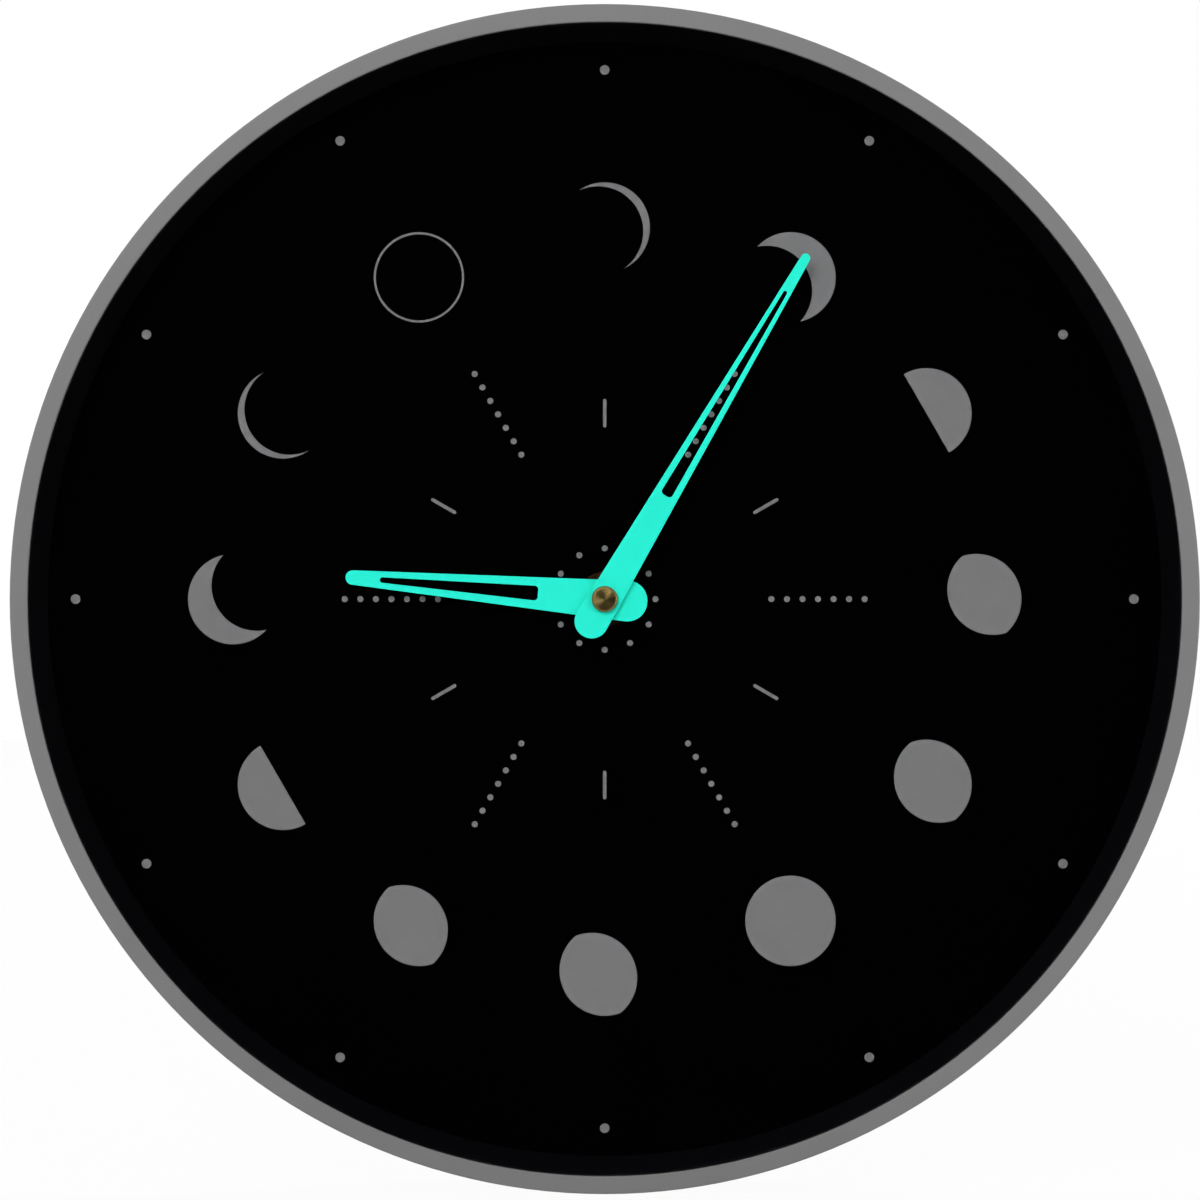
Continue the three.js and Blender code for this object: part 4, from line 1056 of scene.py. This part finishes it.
@dataclass
class DialPrint(SubAssembly):
    """Raised grey ink on the dial: twelve moons, hour dots, rows of dots, ticks and a ring of dots."""

    moon_circle: float = 94.5 * MM
    moon_sides: int = 128
    light_angle: float = math.radians(60)
    new_moon_line: float = 0.55 * MM
    crown: float = 0.03 * MM
    crown_steps: int = 2
    hour_dot_radius: float = 1.23 * MM
    hour_dot_circle: float = 134.6 * MM
    row_dot_radius: float = 0.78 * MM
    row_start: float = 42.4 * MM
    row_pitch: float = 3.953 * MM
    row_count: int = 7
    tick_middle: float = 47.3 * MM
    tick_length: float = 7.25 * MM
    tick_width: float = 0.86 * MM
    centre_circle: float = 12.9 * MM

    def __post_init__(self) -> None:
        """Takes the ink's depth and the moon's radius from the full moon's film."""
        low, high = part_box("moon_5_full")
        self.front = low.y
        self.film_back = high.y
        self.moon_radius = (high.x - low.x) / 2
        self.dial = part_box("dial_plate")[0].y

    def disc(self, radius: float, back: float, sides: int) -> Piece:
        """Models a disc of ink whose rim is a little lower than its middle.

        Args:
            radius: of the disc
            back: depth of its rear face
            sides: of its outline
        Returns:
            the disc
        """
        disc = bar(radius, self.front, back, sides)
        rim = edges(lambda point: point.y < self.front + NEAR)
        round_edges(disc, rim, self.crown, self.crown_steps)
        return disc

    def shadow(self, moon: Moon) -> tuple[Joining, Piece]:
        """Models the tool that shapes a moon, and says how it is used.

        Args:
            moon: moon to shape
        Returns:
            the way to combine them and the tool
        """
        lit = self.light_angle if moon.growing else self.light_angle + math.pi
        front, back = self.front - PASS, self.film_back + PASS
        if moon.phase is Phase.NEW:
            return Joining.CUT, bar(self.moon_radius - self.new_moon_line, front, back, self.moon_sides)
        if moon.phase is Phase.QUARTER:
            reach = self.moon_radius + PASS
            half = block((-reach, front, -reach), (reach, back, 0.0))
            half.rotation_euler.y = lit
            return Joining.CUT, settle(half)
        if moon.phase is Phase.CRESCENT:
            how, at = Joining.CUT, clock_point(-moon.offset, lit)
        else:
            how, at = Joining.SHARE, clock_point(moon.offset, lit)
        return how, bar(self.moon_radius, front, back, self.moon_sides, at)

    def moon(self, moon: Moon) -> Piece:
        """Models one moon and moves it to its hour.

        Args:
            moon: moon to model
        Returns:
            its film of ink
        """
        film = self.disc(self.moon_radius, self.film_back, self.moon_sides)
        if moon.phase is not Phase.FULL:
            combine(film, *self.shadow(moon))
        film.location = clock_point(self.moon_circle, moon.hour * HOUR_STEP)
        return hand_over(settle(film), f"moon_print_{moon.hour}", Body.CLOCK, MOON_INK, moon.node)

    def dot_ring(self, radius: float, circle: float, count: int, first: float = 0.0) -> Piece:
        """Models one dot and copies it round the dial.

        Args:
            radius: of the dot
            circle: radius of the ring
            count: number of dots
            first: clockwise angle of the first one
        Returns:
            the dots as one object
        """
        dot = self.disc(radius, self.dial, DRILL_SIDES)
        dot.location = (0.0, 0.0, circle)
        return ring_of(settle(dot), count, first)

    def rows(self) -> Piece:
        """Models the rows of dots at the odd hours.

        Returns:
            the dots as one object
        """
        circles = [self.row_start + index * self.row_pitch for index in range(self.row_count)]
        rings = [self.dot_ring(self.row_dot_radius, circle, HOURS // 2, HOUR_STEP) for circle in circles]
        return join(rings)

    def ticks(self) -> Piece:
        """Models one tick with round ends and copies it to the even hours.

        Returns:
            the ticks as one object
        """
        half = self.tick_width / 2
        bottom = self.tick_middle - self.tick_length / 2
        top = self.tick_middle + self.tick_length / 2
        tick = block((-half, self.front, bottom), (half, self.dial, top))
        round_edges(tick, edges(axis=1), half - self.crown, BEND_STEPS)
        return ring_of(tick, HOURS // 2)

    def build(self) -> list[Piece]:
        """Models all the print.

        Returns:
            the moons and the marks
        """
        marks = {
            "hour_dots": self.dot_ring(self.hour_dot_radius, self.hour_dot_circle, HOURS),
            "centre_dots": self.dot_ring(self.row_dot_radius, self.centre_circle, HOURS),
            "dot_rows": self.rows(),
            "tick_marks": self.ticks(),
        }
        moons = [self.moon(moon) for moon in MOONS]
        return moons + [hand_over(mark, name, Body.CLOCK, MOON_INK) for name, mark in marks.items()]


@dataclass(frozen=True)
class Hand:
    """Outline of one hand, its turn and what carries it."""

    node: str
    name: str
    body: Body
    angle: float
    length: float
    hub_half: float
    tip_half: float
    slot_start: float
    slot_end: float
    slot_wide_half: float
    slot_narrow_half: float
    bore: float


HOUR_HAND = Hand(
    "hour_hand", "hour_blade", Body.HOUR, angle=math.radians(274.9),
    length=65.95 * MM, hub_half=4.92 * MM, tip_half=1.75 * MM, slot_start=17 * MM, slot_end=57.2 * MM,
    slot_wide_half=1.88 * MM, slot_narrow_half=0.68 * MM, bore=2.7 * MM,
)
MINUTE_HAND = Hand(
    "minute_hand", "minute_blade", Body.MINUTE, angle=math.radians(30.5),
    length=101.4 * MM, hub_half=4.12 * MM, tip_half=1.17 * MM, slot_start=30.4 * MM, slot_end=90.5 * MM,
    slot_wide_half=1.54 * MM, slot_narrow_half=0.51 * MM, bore=1.8 * MM,
)


@dataclass
class Hands(SubAssembly):
    """Two slotted hands of aqua lacquered sheet, whose finish adds a painted glow."""

    tail: float = 10.85 * MM
    end_share: float = 0.99  # of half an end's width that its rounding takes
    end_steps: int = 24
    slot_corner: float = 1.0 * MM
    slot_share: float = 0.9  # of half the slot's narrow end that its rounding takes
    edge: float = 0.08 * MM

    def blade(self, hand: Hand) -> Piece:
        """Models a hand that points to twelve, without its slot.

        Args:
            hand: which hand
        Returns:
            the blade
        """
        low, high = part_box(hand.node)
        slope = (hand.hub_half - hand.tip_half) / hand.length
        foot = hand.hub_half + slope * self.tail
        blade = wedge((-foot, low.y, -self.tail), (foot, high.y, hand.length), hand.tip_half / foot)
        for level, half in ((hand.length, hand.tip_half), (-self.tail, foot)):
            round_edges(blade, edges(at_height(level), axis=1), half * self.end_share, self.end_steps)
        return blade

    def slot(self, hand: Hand, front: float, back: float) -> Piece:
        """Models the tool that cuts a hand's slot.

        Args:
            hand: which hand
            front: depth where the tool starts
            back: depth where it ends
        Returns:
            the tool
        """
        wide, narrow = hand.slot_wide_half, hand.slot_narrow_half
        slot = wedge((-wide, front, hand.slot_start), (wide, back, hand.slot_end), narrow / wide)
        for level, reach in ((hand.slot_start, self.slot_corner), (hand.slot_end, narrow * self.slot_share)):
            round_edges(slot, edges(at_height(level), axis=1), reach, BEND_STEPS)
        return slot

    def finished(self, hand: Hand) -> Piece:
        """Cuts a hand's slot and bore, breaks its edges and turns it to its time.

        Args:
            hand: which hand
        Returns:
            the finished hand
        """
        low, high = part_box(hand.node)
        front, back = low.y - PASS, high.y + PASS
        blade = self.blade(hand)
        combine(blade, Joining.CUT, self.slot(hand, front, back))
        combine(blade, Joining.CUT, bar(hand.bore, front, back))
        soften(blade, self.edge)
        blade.rotation_euler.y = hand.angle
        # The hands' finish carries a painted glow.
        return hand_over(settle(blade), hand.name, hand.body, AQUA_PAINTED_GLOW, hand.node)

    def build(self) -> list[Piece]:
        """Models both hands."""
        return [self.finished(HOUR_HAND), self.finished(MINUTE_HAND)]


@dataclass
class CentreFasteners(SubAssembly):
    """Cap nut on the minute arbor, and what clamps the movement to the dial."""

    cap_chamfer: float = 0.5 * MM
    cap_roof: float = 0.5 * MM
    cap_hole: float = 1.8 * MM
    cap_rounding: float = 0.12 * MM
    nut_sides: int = 6
    nut_chamfer: float = 0.35 * MM
    hole: float = 4.15 * MM
    bush_inner: float = 2.7 * MM
    rounding: float = 0.1 * MM
    edge: float = 0.12 * MM

    def cap(self) -> Piece:
        """Turns the cap nut: a shallow cone with a blind hole.

        Returns:
            the cap nut
        """
        low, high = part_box("cap_nut")
        radius = high.x
        roof = low.y + self.cap_roof
        section = [
            Corner(0.0, low.y),
            Corner(radius - self.cap_chamfer, low.y + self.cap_chamfer / 2, self.cap_rounding),
            Corner(radius, low.y + self.cap_chamfer, self.cap_rounding),
            Corner(radius, high.y, self.cap_rounding),
            Corner(self.cap_hole, high.y),
            Corner(self.cap_hole, roof),
            Corner(0.0, roof),
        ]
        return turn(section, TURNED_SIDES)

    def nut(self) -> Piece:
        """Models the hexagon nut with its turned corners.

        Returns:
            the nut
        """
        low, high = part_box("hex_nut")
        corner = high.z
        flats = corner * math.cos(math.pi / self.nut_sides)
        blank = bar(corner, low.y, high.y, self.nut_sides)
        section = [
            Corner(self.hole, low.y),
            Corner(flats, low.y),
            Corner(corner + self.rounding, low.y + self.nut_chamfer),
            Corner(corner + self.rounding, high.y - self.nut_chamfer),
            Corner(flats, high.y),
            Corner(self.hole, high.y),
        ]
        combine(blank, Joining.SHARE, turn(section, TURNED_SIDES))
        return soften(blank, self.rounding, steps=1)

    def tube(self, node: str, inner: float) -> Piece:
        """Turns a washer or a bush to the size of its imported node, with a hole of a given radius."""
        low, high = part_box(node)
        return turn(ring_section(high.x, inner, low.y, high.y, self.edge, self.edge), TURNED_SIDES)

    def build(self) -> list[Piece]:
        """Models the fasteners from the front to the back.

        Returns:
            the cap nut, the nut, two washers and the bush
        """
        washer = self.tube("brass_washer", self.hole)
        rubber = self.tube("rubber_washer", self.hole)
        bush = self.tube("threaded_bush", self.bush_inner)
        return [
            hand_over(self.cap(), "cap_button", Body.MINUTE, TURNED_BRASS, "cap_nut"),
            # The clamp nut and its washer take brass darkened as painted shade.
            hand_over(self.nut(), "clamp_nut", Body.CLOCK, BRASS_PAINTED_SHADE, "hex_nut"),
            hand_over(washer, "nut_washer", Body.CLOCK, BRASS_PAINTED_SHADE, "brass_washer"),
            hand_over(rubber, "seal_washer", Body.CLOCK, RUBBER, "rubber_washer"),
            hand_over(bush, "bush_tube", Body.CLOCK, DULL_BRASS, "threaded_bush"),
        ]


@dataclass
class PlateScrews(SubAssembly):
    """Six pan-head screws behind the back plate."""

    shank_radius: float = 0.9 * MM
    head_radius: float = 1.9 * MM
    head_height: float = 1.3 * MM
    dome: float = 0.75 * MM
    cross_half_width: float = 0.3 * MM
    cross_half: float = 0.95 * MM
    cross_depth: float = 0.6 * MM
    tip: float = 0.4 * MM
    turn_step: float = math.radians(37)  # from one screw's cross to the next

    def pattern(self) -> Piece:
        """Models one screw on the hands' axis.

        Returns:
            the screw
        """
        low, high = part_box("plate_screw_1")
        head_front = high.y - self.head_height
        section = [
            Corner(0.0, low.y),
            Corner(self.shank_radius, low.y, self.tip),
            Corner(self.shank_radius, head_front),
            Corner(self.head_radius, head_front),
            Corner(self.head_radius, high.y, self.dome),
            Corner(0.0, high.y),
        ]
        screw = turn(section, SMALL_SIDES)
        floor, top = high.y - self.cross_depth, high.y + PASS
        long, short = self.cross_half, self.cross_half_width
        for across, up in ((long, short), (short, long)):
            combine(screw, Joining.CUT, block((-across, floor, -up), (across, top, up)))
        return screw

    def build(self) -> list[Piece]:
        """Copies the screw to each hole, with its cross at another turn.

        Returns:
            the screws
        """
        pattern = self.pattern()
        pieces = []
        for index, axis in enumerate(screw_axes()):
            screw = copy_of(pattern)
            screw.rotation_euler.y = index * self.turn_step
            screw.location = (axis.x, 0.0, axis.z)
            number = index + 1
            node = f"plate_screw_{number}"
            pieces.append(hand_over(settle(screw), f"pan_screw_{number}", Body.CLOCK, ZINC, node))
        discard(pattern)
        return pieces


@dataclass
class WallHanger(SubAssembly):
    """Steel strip clamped under the movement, bent back over it, with a toothed nail slot."""

    thickness: float = 1.2 * MM
    shelf_top: float = 32.05 * MM
    bend: float = 1.6 * MM
    corner: float = 2.5 * MM
    slot_half: float = 7.5 * MM
    slot_bottom: float = 36.05 * MM
    slot_top: float = 43.05 * MM
    teeth: int = 5
    tooth_depth: float = 1.2 * MM
    notch_point: float = 0.1  # width of a notch's top as a share of its foot
    hole: float = 4.15 * MM
    edge: float = 0.15 * MM

    def strip(self) -> Piece:
        """Models the bent strip from one flat sheet.

        Returns:
            the strip
        """
        low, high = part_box("wall_hanger")
        half = self.thickness / 2
        front, back, shelf = low.y + half, high.y - half, self.shelf_top - half
        size = (high.x - low.x, shelf - low.z, 1.0)
        middle = (0.0, front, (low.z + shelf) / 2)
        strip = add(bpy.ops.mesh.primitive_plane_add, size, size=1.0, location=middle, rotation=ALONG_Y)
        at_shelf, at_bottom, at_top = at_height(shelf), at_height(low.z), at_height(high.z)
        with editing(strip):
            pick(strip, Part.EDGE, edges(at_shelf))
            extrude((0.0, back - front, 0.0))
            extrude((0.0, 0.0, high.z - shelf))
            pick(strip, Part.EDGE, edges(at_shelf, axis=0))
            bpy.ops.mesh.bevel(offset=self.bend, segments=BEND_STEPS)
            pick(strip, Part.VERT, lambda vert: at_bottom(vert.co) or at_top(vert.co))
            bpy.ops.mesh.bevel(affect="VERTICES", offset=self.corner, segments=BEND_STEPS)
        apply_step(strip, "SOLIDIFY", thickness=self.thickness, offset=0.0, use_even_offset=True)
        with editing(strip):
            face_outwards()
        return strip

    def cut_slot(self, strip: Piece) -> None:
        """Cuts the nail slot, a block and one pointed notch for each tooth.

        Args:
            strip: the bent strip
        """
        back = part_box("wall_hanger")[1].y
        front, back = back - self.thickness - PASS, back + PASS
        slot = block((-self.slot_half, front, self.slot_bottom), (self.slot_half, back, self.slot_top))
        combine(strip, Joining.CUT, slot)
        pitch = 2 * self.slot_half / self.teeth
        for index in range(self.teeth):
            left = -self.slot_half + index * pitch
            low = (left + self.edge, front, self.slot_top - self.edge)
            high = (left + pitch - self.edge, back, self.slot_top + self.tooth_depth)
            combine(strip, Joining.CUT, wedge(low, high, self.notch_point))

    def build(self) -> list[Piece]:
        """Models the strip, cuts its slot and its hole and breaks its edges.

        Returns:
            the strip
        """
        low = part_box("wall_hanger")[0]
        strip = self.strip()
        self.cut_slot(strip)
        combine(strip, Joining.CUT, bar(self.hole, low.y - PASS, low.y + self.thickness + PASS))
        soften(strip, self.edge, least=SQUARE)
        return [hand_over(strip, "hanger_strip", Body.CLOCK, ZINC, "wall_hanger")]


@dataclass
class Movement(SubAssembly):
    """Moulded movement case with its battery bay, cover and setting knob."""

    wall: float = 1.2 * MM
    corner: float = 2.5 * MM
    edge: float = 0.3 * MM
    divider_bottom: float = -11.78 * MM
    post_radius: float = 1.6 * MM
    post_margin: float = 2.2 * MM
    seat: float = 0.2 * MM
    centre_hole: float = 4.15 * MM
    panel_margin: float = 2.4 * MM
    panel_depth: float = 0.4 * MM
    dish_radius: float = 6.2 * MM
    dish_depth: float = 0.8 * MM  # from the rim of the panel
    knob_hole: float = 1.4 * MM
    knob_radius: float = 5 * MM
    knob_height: float = 1.5 * MM
    knob_rounding: float = 0.35 * MM
    shaft_radius: float = 1.2 * MM
    collar: float = 0.05 * MM  # of the neck over the shaft
    notch_count: int = 14
    notch_radius: float = 0.55 * MM
    notch_sides: int = 16

    def pan(self, node: str, rounded: Test, margin: float, depth: float) -> Piece:
        """Models a block with round corners and a sunk rear face.

        Args:
            node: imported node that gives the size
            rounded: says whether an edge is rounded
            margin: width that stays round the sunk part
            depth: how far it is sunk
        Returns:
            the block
        """
        pan = block(*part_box(node))
        with editing(pan):
            pick(pan, Part.EDGE, rounded)
            bpy.ops.mesh.bevel(offset=self.corner, segments=BEND_STEPS)
            pick(pan, Part.FACE, lambda face: face.normal.y > FACING)
            bpy.ops.mesh.inset(thickness=margin)
            extrude((0.0, -depth, 0.0))
            face_outwards()
        return pan

    def tray(self) -> Piece:
        """Models the case: a rounded tray with a divider and four posts.

        Returns:
            the case
        """
        low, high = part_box("movement_case")
        floor = low.y + self.wall
        foot = floor - self.wall / 2
        tray = self.pan("movement_case", edges(axis=1), self.wall, high.y - floor)
        inner = high.x - self.wall / 2
        divider_top = self.divider_bottom + self.wall
        divider = block((-inner, foot, self.divider_bottom), (inner, high.y, divider_top))
        combine(tray, Joining.FUSE, divider)
        plate_low, plate_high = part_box("train_plate")
        reach = high.x - self.wall - self.post_margin
        for level in (divider_top + self.post_margin, plate_high.z - self.post_margin):
            for side in (-reach, reach):
                at = (side, 0.0, level)
                post = bar(self.post_radius, foot, plate_low.y - self.seat, DRILL_SIDES, at)
                combine(tray, Joining.FUSE, post)
        combine(tray, Joining.CUT, bar(self.centre_hole, low.y - PASS, floor + PASS))
        return soften(tray, self.edge, least=SQUARE)

    def cover(self) -> Piece:
        """Models the cover: a plate with a sunk panel, a dish round the knob and the knob's hole.

        Returns:
            the cover
        """
        low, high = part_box("movement_cover")
        axis = middle_of("setting_knob")
        top_corners = edges(at_height(high.z), axis=1)
        cover = self.pan("movement_cover", top_corners, self.panel_margin, self.panel_depth)
        back = high.y + PASS
        dish = bar(self.dish_radius, high.y - self.dish_depth, back, at=axis)
        combine(cover, Joining.CUT, dish)
        combine(cover, Joining.CUT, bar(self.knob_hole, low.y - PASS, back, at=axis))
        return soften(cover, self.edge, least=SQUARE)

    def knob(self) -> Piece:
        """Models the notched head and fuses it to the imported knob's shaft and pinion.

        Returns:
            the knob
        """
        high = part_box("setting_knob")[1]
        axis = middle_of("setting_knob")
        front = high.y - self.knob_height
        neck = self.shaft_radius + self.collar
        section = [
            Corner(0.0, front - PASS),
            Corner(neck, front - PASS),
            Corner(neck, front),
            Corner(self.knob_radius, front, self.knob_rounding / 2),
            Corner(self.knob_radius, high.y, self.knob_rounding),
            Corner(0.0, high.y),
        ]
        head = turn(section, TURNED_SIDES)
        rim = (0.0, 0.0, self.knob_radius)
        notch = bar(self.notch_radius, front - PASS, high.y + PASS, self.notch_sides, rim)
        combine(head, Joining.CUT, ring_of(notch, self.notch_count))
        head.location = (axis.x, 0.0, axis.z)
        settle(head)
        shaft = copy_of(frame["nodes"]["setting_knob"])
        split = (0.0, front - PASS / 2, 0.0)
        with editing(shaft):
            pick_all()
            bpy.ops.mesh.remove_doubles(threshold=NEAR)
            pick_all()
            bpy.ops.mesh.bisect(plane_co=split, plane_no=(0.0, 1.0, 0.0), clear_outer=True, use_fill=True)
        return combine(head, Joining.FUSE, shaft)

    def build(self) -> list[Piece]:
        """Models the case, the cover and the knob.

        Returns:
            the three pieces
        """
        return [
            hand_over(self.tray(), "movement_tray", Body.CLOCK, BLACK_MOULDING, "movement_case"),
            hand_over(self.cover(), "movement_lid", Body.CLOCK, BLACK_MOULDING, "movement_cover"),
            hand_over(self.knob(), "notched_knob", Body.KNOB, WHITE_MOULDING, "setting_knob"),
        ]


@dataclass
class Battery(SubAssembly):
    """Plain cell with a foil jacket, crimped ends and a stud."""

    stud_radius: float = 2.75 * MM
    stud_length: float = 1.2 * MM
    crimp: float = 0.5 * MM
    crimp_rounding: float = 0.3 * MM

    def build(self) -> list[Piece]:
        """Turns the cell and lays it along X.

        Returns:
            the cell
        """
        low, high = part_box("battery")
        radius = (high.z - low.z) / 2
        half = (high.x - low.x) / 2
        shoulder = half - self.stud_length
        section = [
            Corner(0.0, -half),
            Corner(radius - 2 * self.crimp, -half),
            Corner(radius - self.crimp, -half + self.crimp, self.crimp_rounding),
            Corner(radius, -half + self.crimp, self.crimp_rounding),
            Corner(radius, shoulder, self.crimp_rounding),
            Corner(radius - self.crimp, shoulder, self.crimp_rounding),
            Corner(radius - 2 * self.crimp, shoulder - self.crimp),
            Corner(self.stud_radius, shoulder - self.crimp),
            Corner(self.stud_radius, half, self.crimp_rounding),
            Corner(0.0, half),
        ]
        cell = turn(section, TURNED_SIDES)
        cell.rotation_euler.z = -math.pi / 2
        cell.location = middle_of("battery")
        hand_over(settle(cell), "dry_cell", Body.CELL, JACKET, "battery")
        self.bare_ends(cell, shoulder - self.crimp_rounding)
        return [cell]

    def bare_ends(self, cell: Piece, jacket_half: float) -> None:
        """Gives the ends of the cell the finish of plated steel.

        Args:
            cell: the dressed cell
            jacket_half: half of the jacket's length
        """
        cell.data.materials.append(ZINC.material())
        with editing(cell):
            pick(cell, Part.FACE, lambda face: abs(face.calc_center_median().x) > jacket_half)
            cell.active_material_index = 1
            bpy.ops.object.material_slot_assign()


def dress_nodes() -> None:
    """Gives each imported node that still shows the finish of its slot."""
    for subpart in frame["record"]["subparts"]:
        node = frame["nodes"][subpart["node"]]
        if not node.hide_render:
            finish = FINISH_OF_SLOT[subpart["material_slot"]]
            node.material_slots[0].material = finish.material()
            log.info("%s keeps its packed shape in %s", node.name, finish.name)


# Studio


@dataclass(frozen=True)
class Lamp:
    """A soft square lamp that points at the clock."""

    name: str
    place: tuple[float, float, float]
    size: float
    power: float  # watts

    def hang(self) -> None:
        """Adds the lamp to the scene."""
        data = bpy.data.lights.new(self.name, "AREA")
        data.size = self.size
        data.energy = self.power
        lamp = bpy.data.objects.new(self.name, data)
        lamp.location = self.place
        lamp.rotation_euler = (-lamp.location).to_track_quat("-Z", "Y").to_euler()
        bpy.context.scene.collection.objects.link(lamp)


LAMPS = (
    Lamp("key_lamp", (-1.2, -3.6, 1.7), 1.3, 64.0),
    Lamp("fill_lamp", (2.4, -2.8, 0.3), 1.5, 22.0),
    Lamp("rear_lamp", (1.6, 3.0, 2.4), 1.5, 80.0),
)


@dataclass
class Studio:
    """White surroundings, a pale floor, soft lamps and a dark flag behind the camera."""

    diffuse_level: float = 0.33
    floor_size: float = 8.0
    floor_grey: float = 0.9
    floor_roughness: float = 0.8
    floor_glow: float = 0.96
    flag_depth: float = -1.7
    flag_core: float = 0.5  # radius of the part that is wholly black
    flag_radius: float = 2.0  # where the cloth has faded out

    def seen_directly(self, tree: Tree) -> Socket:
        """Gives the mask of rays that see the background: from the camera, mirrored or through glass.

        Args:
            tree: tree that gets the nodes
        Returns:
            the mask
        """
        path = add_node(tree, "LightPath").outputs
        mirrored = calculate(tree, "MAXIMUM", path["Is Camera Ray"], path["Is Glossy Ray"])
        return calculate(tree, "MAXIMUM", mirrored, path["Is Transmission Ray"])

    def surroundings(self) -> None:
        """Makes the world white where it is seen, and moderate where it lights."""
        world = bpy.data.worlds.new("white_room")
        world.use_nodes = True
        bpy.context.scene.world = world
        tree = world.node_tree
        tree.nodes.clear()
        output = add_node(tree, "OutputWorld")
        seen = add_node(tree, "Background", {"Color": WHITE, "Strength": 1.0})
        lighting = add_node(tree, "Background", {"Color": WHITE, "Strength": self.diffuse_level})
        mix_into(output, self.seen_directly(tree), lighting, seen)

    def screen(self, name: str, finish: str, grey: float, **options: Any) -> tuple[Piece, Tree, Node]:
        """Sets up a flat matt square that isn't part of the clock.

        Args:
            name: of the square
            finish: name of its material
            grey: its colour
            options: its size, place and turn
        Returns:
            the square, its material's tree and shader
        """
        piece = add(bpy.ops.mesh.primitive_plane_add, **options)
        piece.name = name
        material, tree, shader = new_material(finish)
        fill(shader, {"Base Color": (grey, grey, grey, 1.0), "Specular IOR Level": 0.0})
        piece.data.materials.append(material)
        return piece, tree, shader

    def floor(self) -> None:
        """Lays the pale floor under the clock; it shows white and keeps a soft shadow."""
        pose = {"size": self.floor_size, "location": (0.0, 0.0, CAD_BOX[0].z)}
        floor, tree, shader = self.screen("floor", "pale_floor", self.floor_grey, **pose)
        fill(shader, {"Roughness": self.floor_roughness})
        glow = add_node(tree, "Emission", {"Color": WHITE, "Strength": 1.0})
        share = calculate(tree, "MULTIPLY", self.seen_directly(tree), self.floor_glow)
        mix_into(tree.nodes["Material Output"], share, shader, glow)
        floor.visible_glossy = False
        floor.visible_transmission = False

    def flag(self) -> None:
        """Hangs a soft-edged black cloth behind the camera that only mirrors and glass see."""
        pose = {"location": (0.0, self.flag_depth, 0.0), "rotation": ALONG_Y}
        flag, tree, shader = self.screen("flag", "black_cloth", 0.0, size=2 * self.flag_radius, **pose)
        limits = {
            "Value": distance(tree, object_place(tree)),
            "From Min": math.hypot(self.flag_core, self.flag_depth),
            "From Max": math.hypot(self.flag_radius, self.flag_depth),
        }
        fade = add_node(tree, "MapRange", limits, interpolation_type="SMOOTHSTEP").outputs[0]
        mix_into(tree.nodes["Material Output"], fade, shader, add_node(tree, "BsdfTransparent"))
        flag.visible_camera = False
        flag.visible_diffuse = False
        flag.visible_shadow = False

    def build(self) -> None:
        """Sets up the surroundings, the floor, the flag and the lamps."""
        self.surroundings()
        self.floor()
        self.flag()
        for lamp in LAMPS:
            lamp.hang()
        bpy.context.scene.view_settings.view_transform = "Standard"


@dataclass
class PhotoCamera:
    """Camera that looks straight at the dial."""

    place: tuple[float, float, float] = (-1.2 * MM, -1.25, -0.23 * MM)
    lens: float = 146.7  # millimetres
    sensor: float = 36.0  # millimetres

    def build(self) -> None:
        """Sets up the camera and makes it the scene's own."""
        data = bpy.data.cameras.new("photo_camera")
        data.lens = self.lens
        data.sensor_width = self.sensor
        camera = bpy.data.objects.new("photo_camera", data)
        camera.location = self.place
        camera.rotation_euler = ALONG_Y
        bpy.context.scene.collection.objects.link(camera)
        bpy.context.scene.camera = camera


def main() -> None:
    """Builds the camera, the clock and the studio, and reports each piece."""
    logging.basicConfig(level=logging.INFO, format="%(name)s: %(message)s")
    PhotoCamera().build()
    assemblies: tuple[SubAssembly, ...] = (
        CaseRing(), FrontGlass(), DialStack(), DialPrint(), Hands(),
        CentreFasteners(), PlateScrews(), WallHanger(), Movement(), Battery(),
    )
    for assembly in assemblies:
        for piece in assembly.build():
            log.info("%s made, %d faces", piece.name, len(piece.data.polygons))
    dress_nodes()
    Studio().build()


if __name__ == "__main__":
    main()
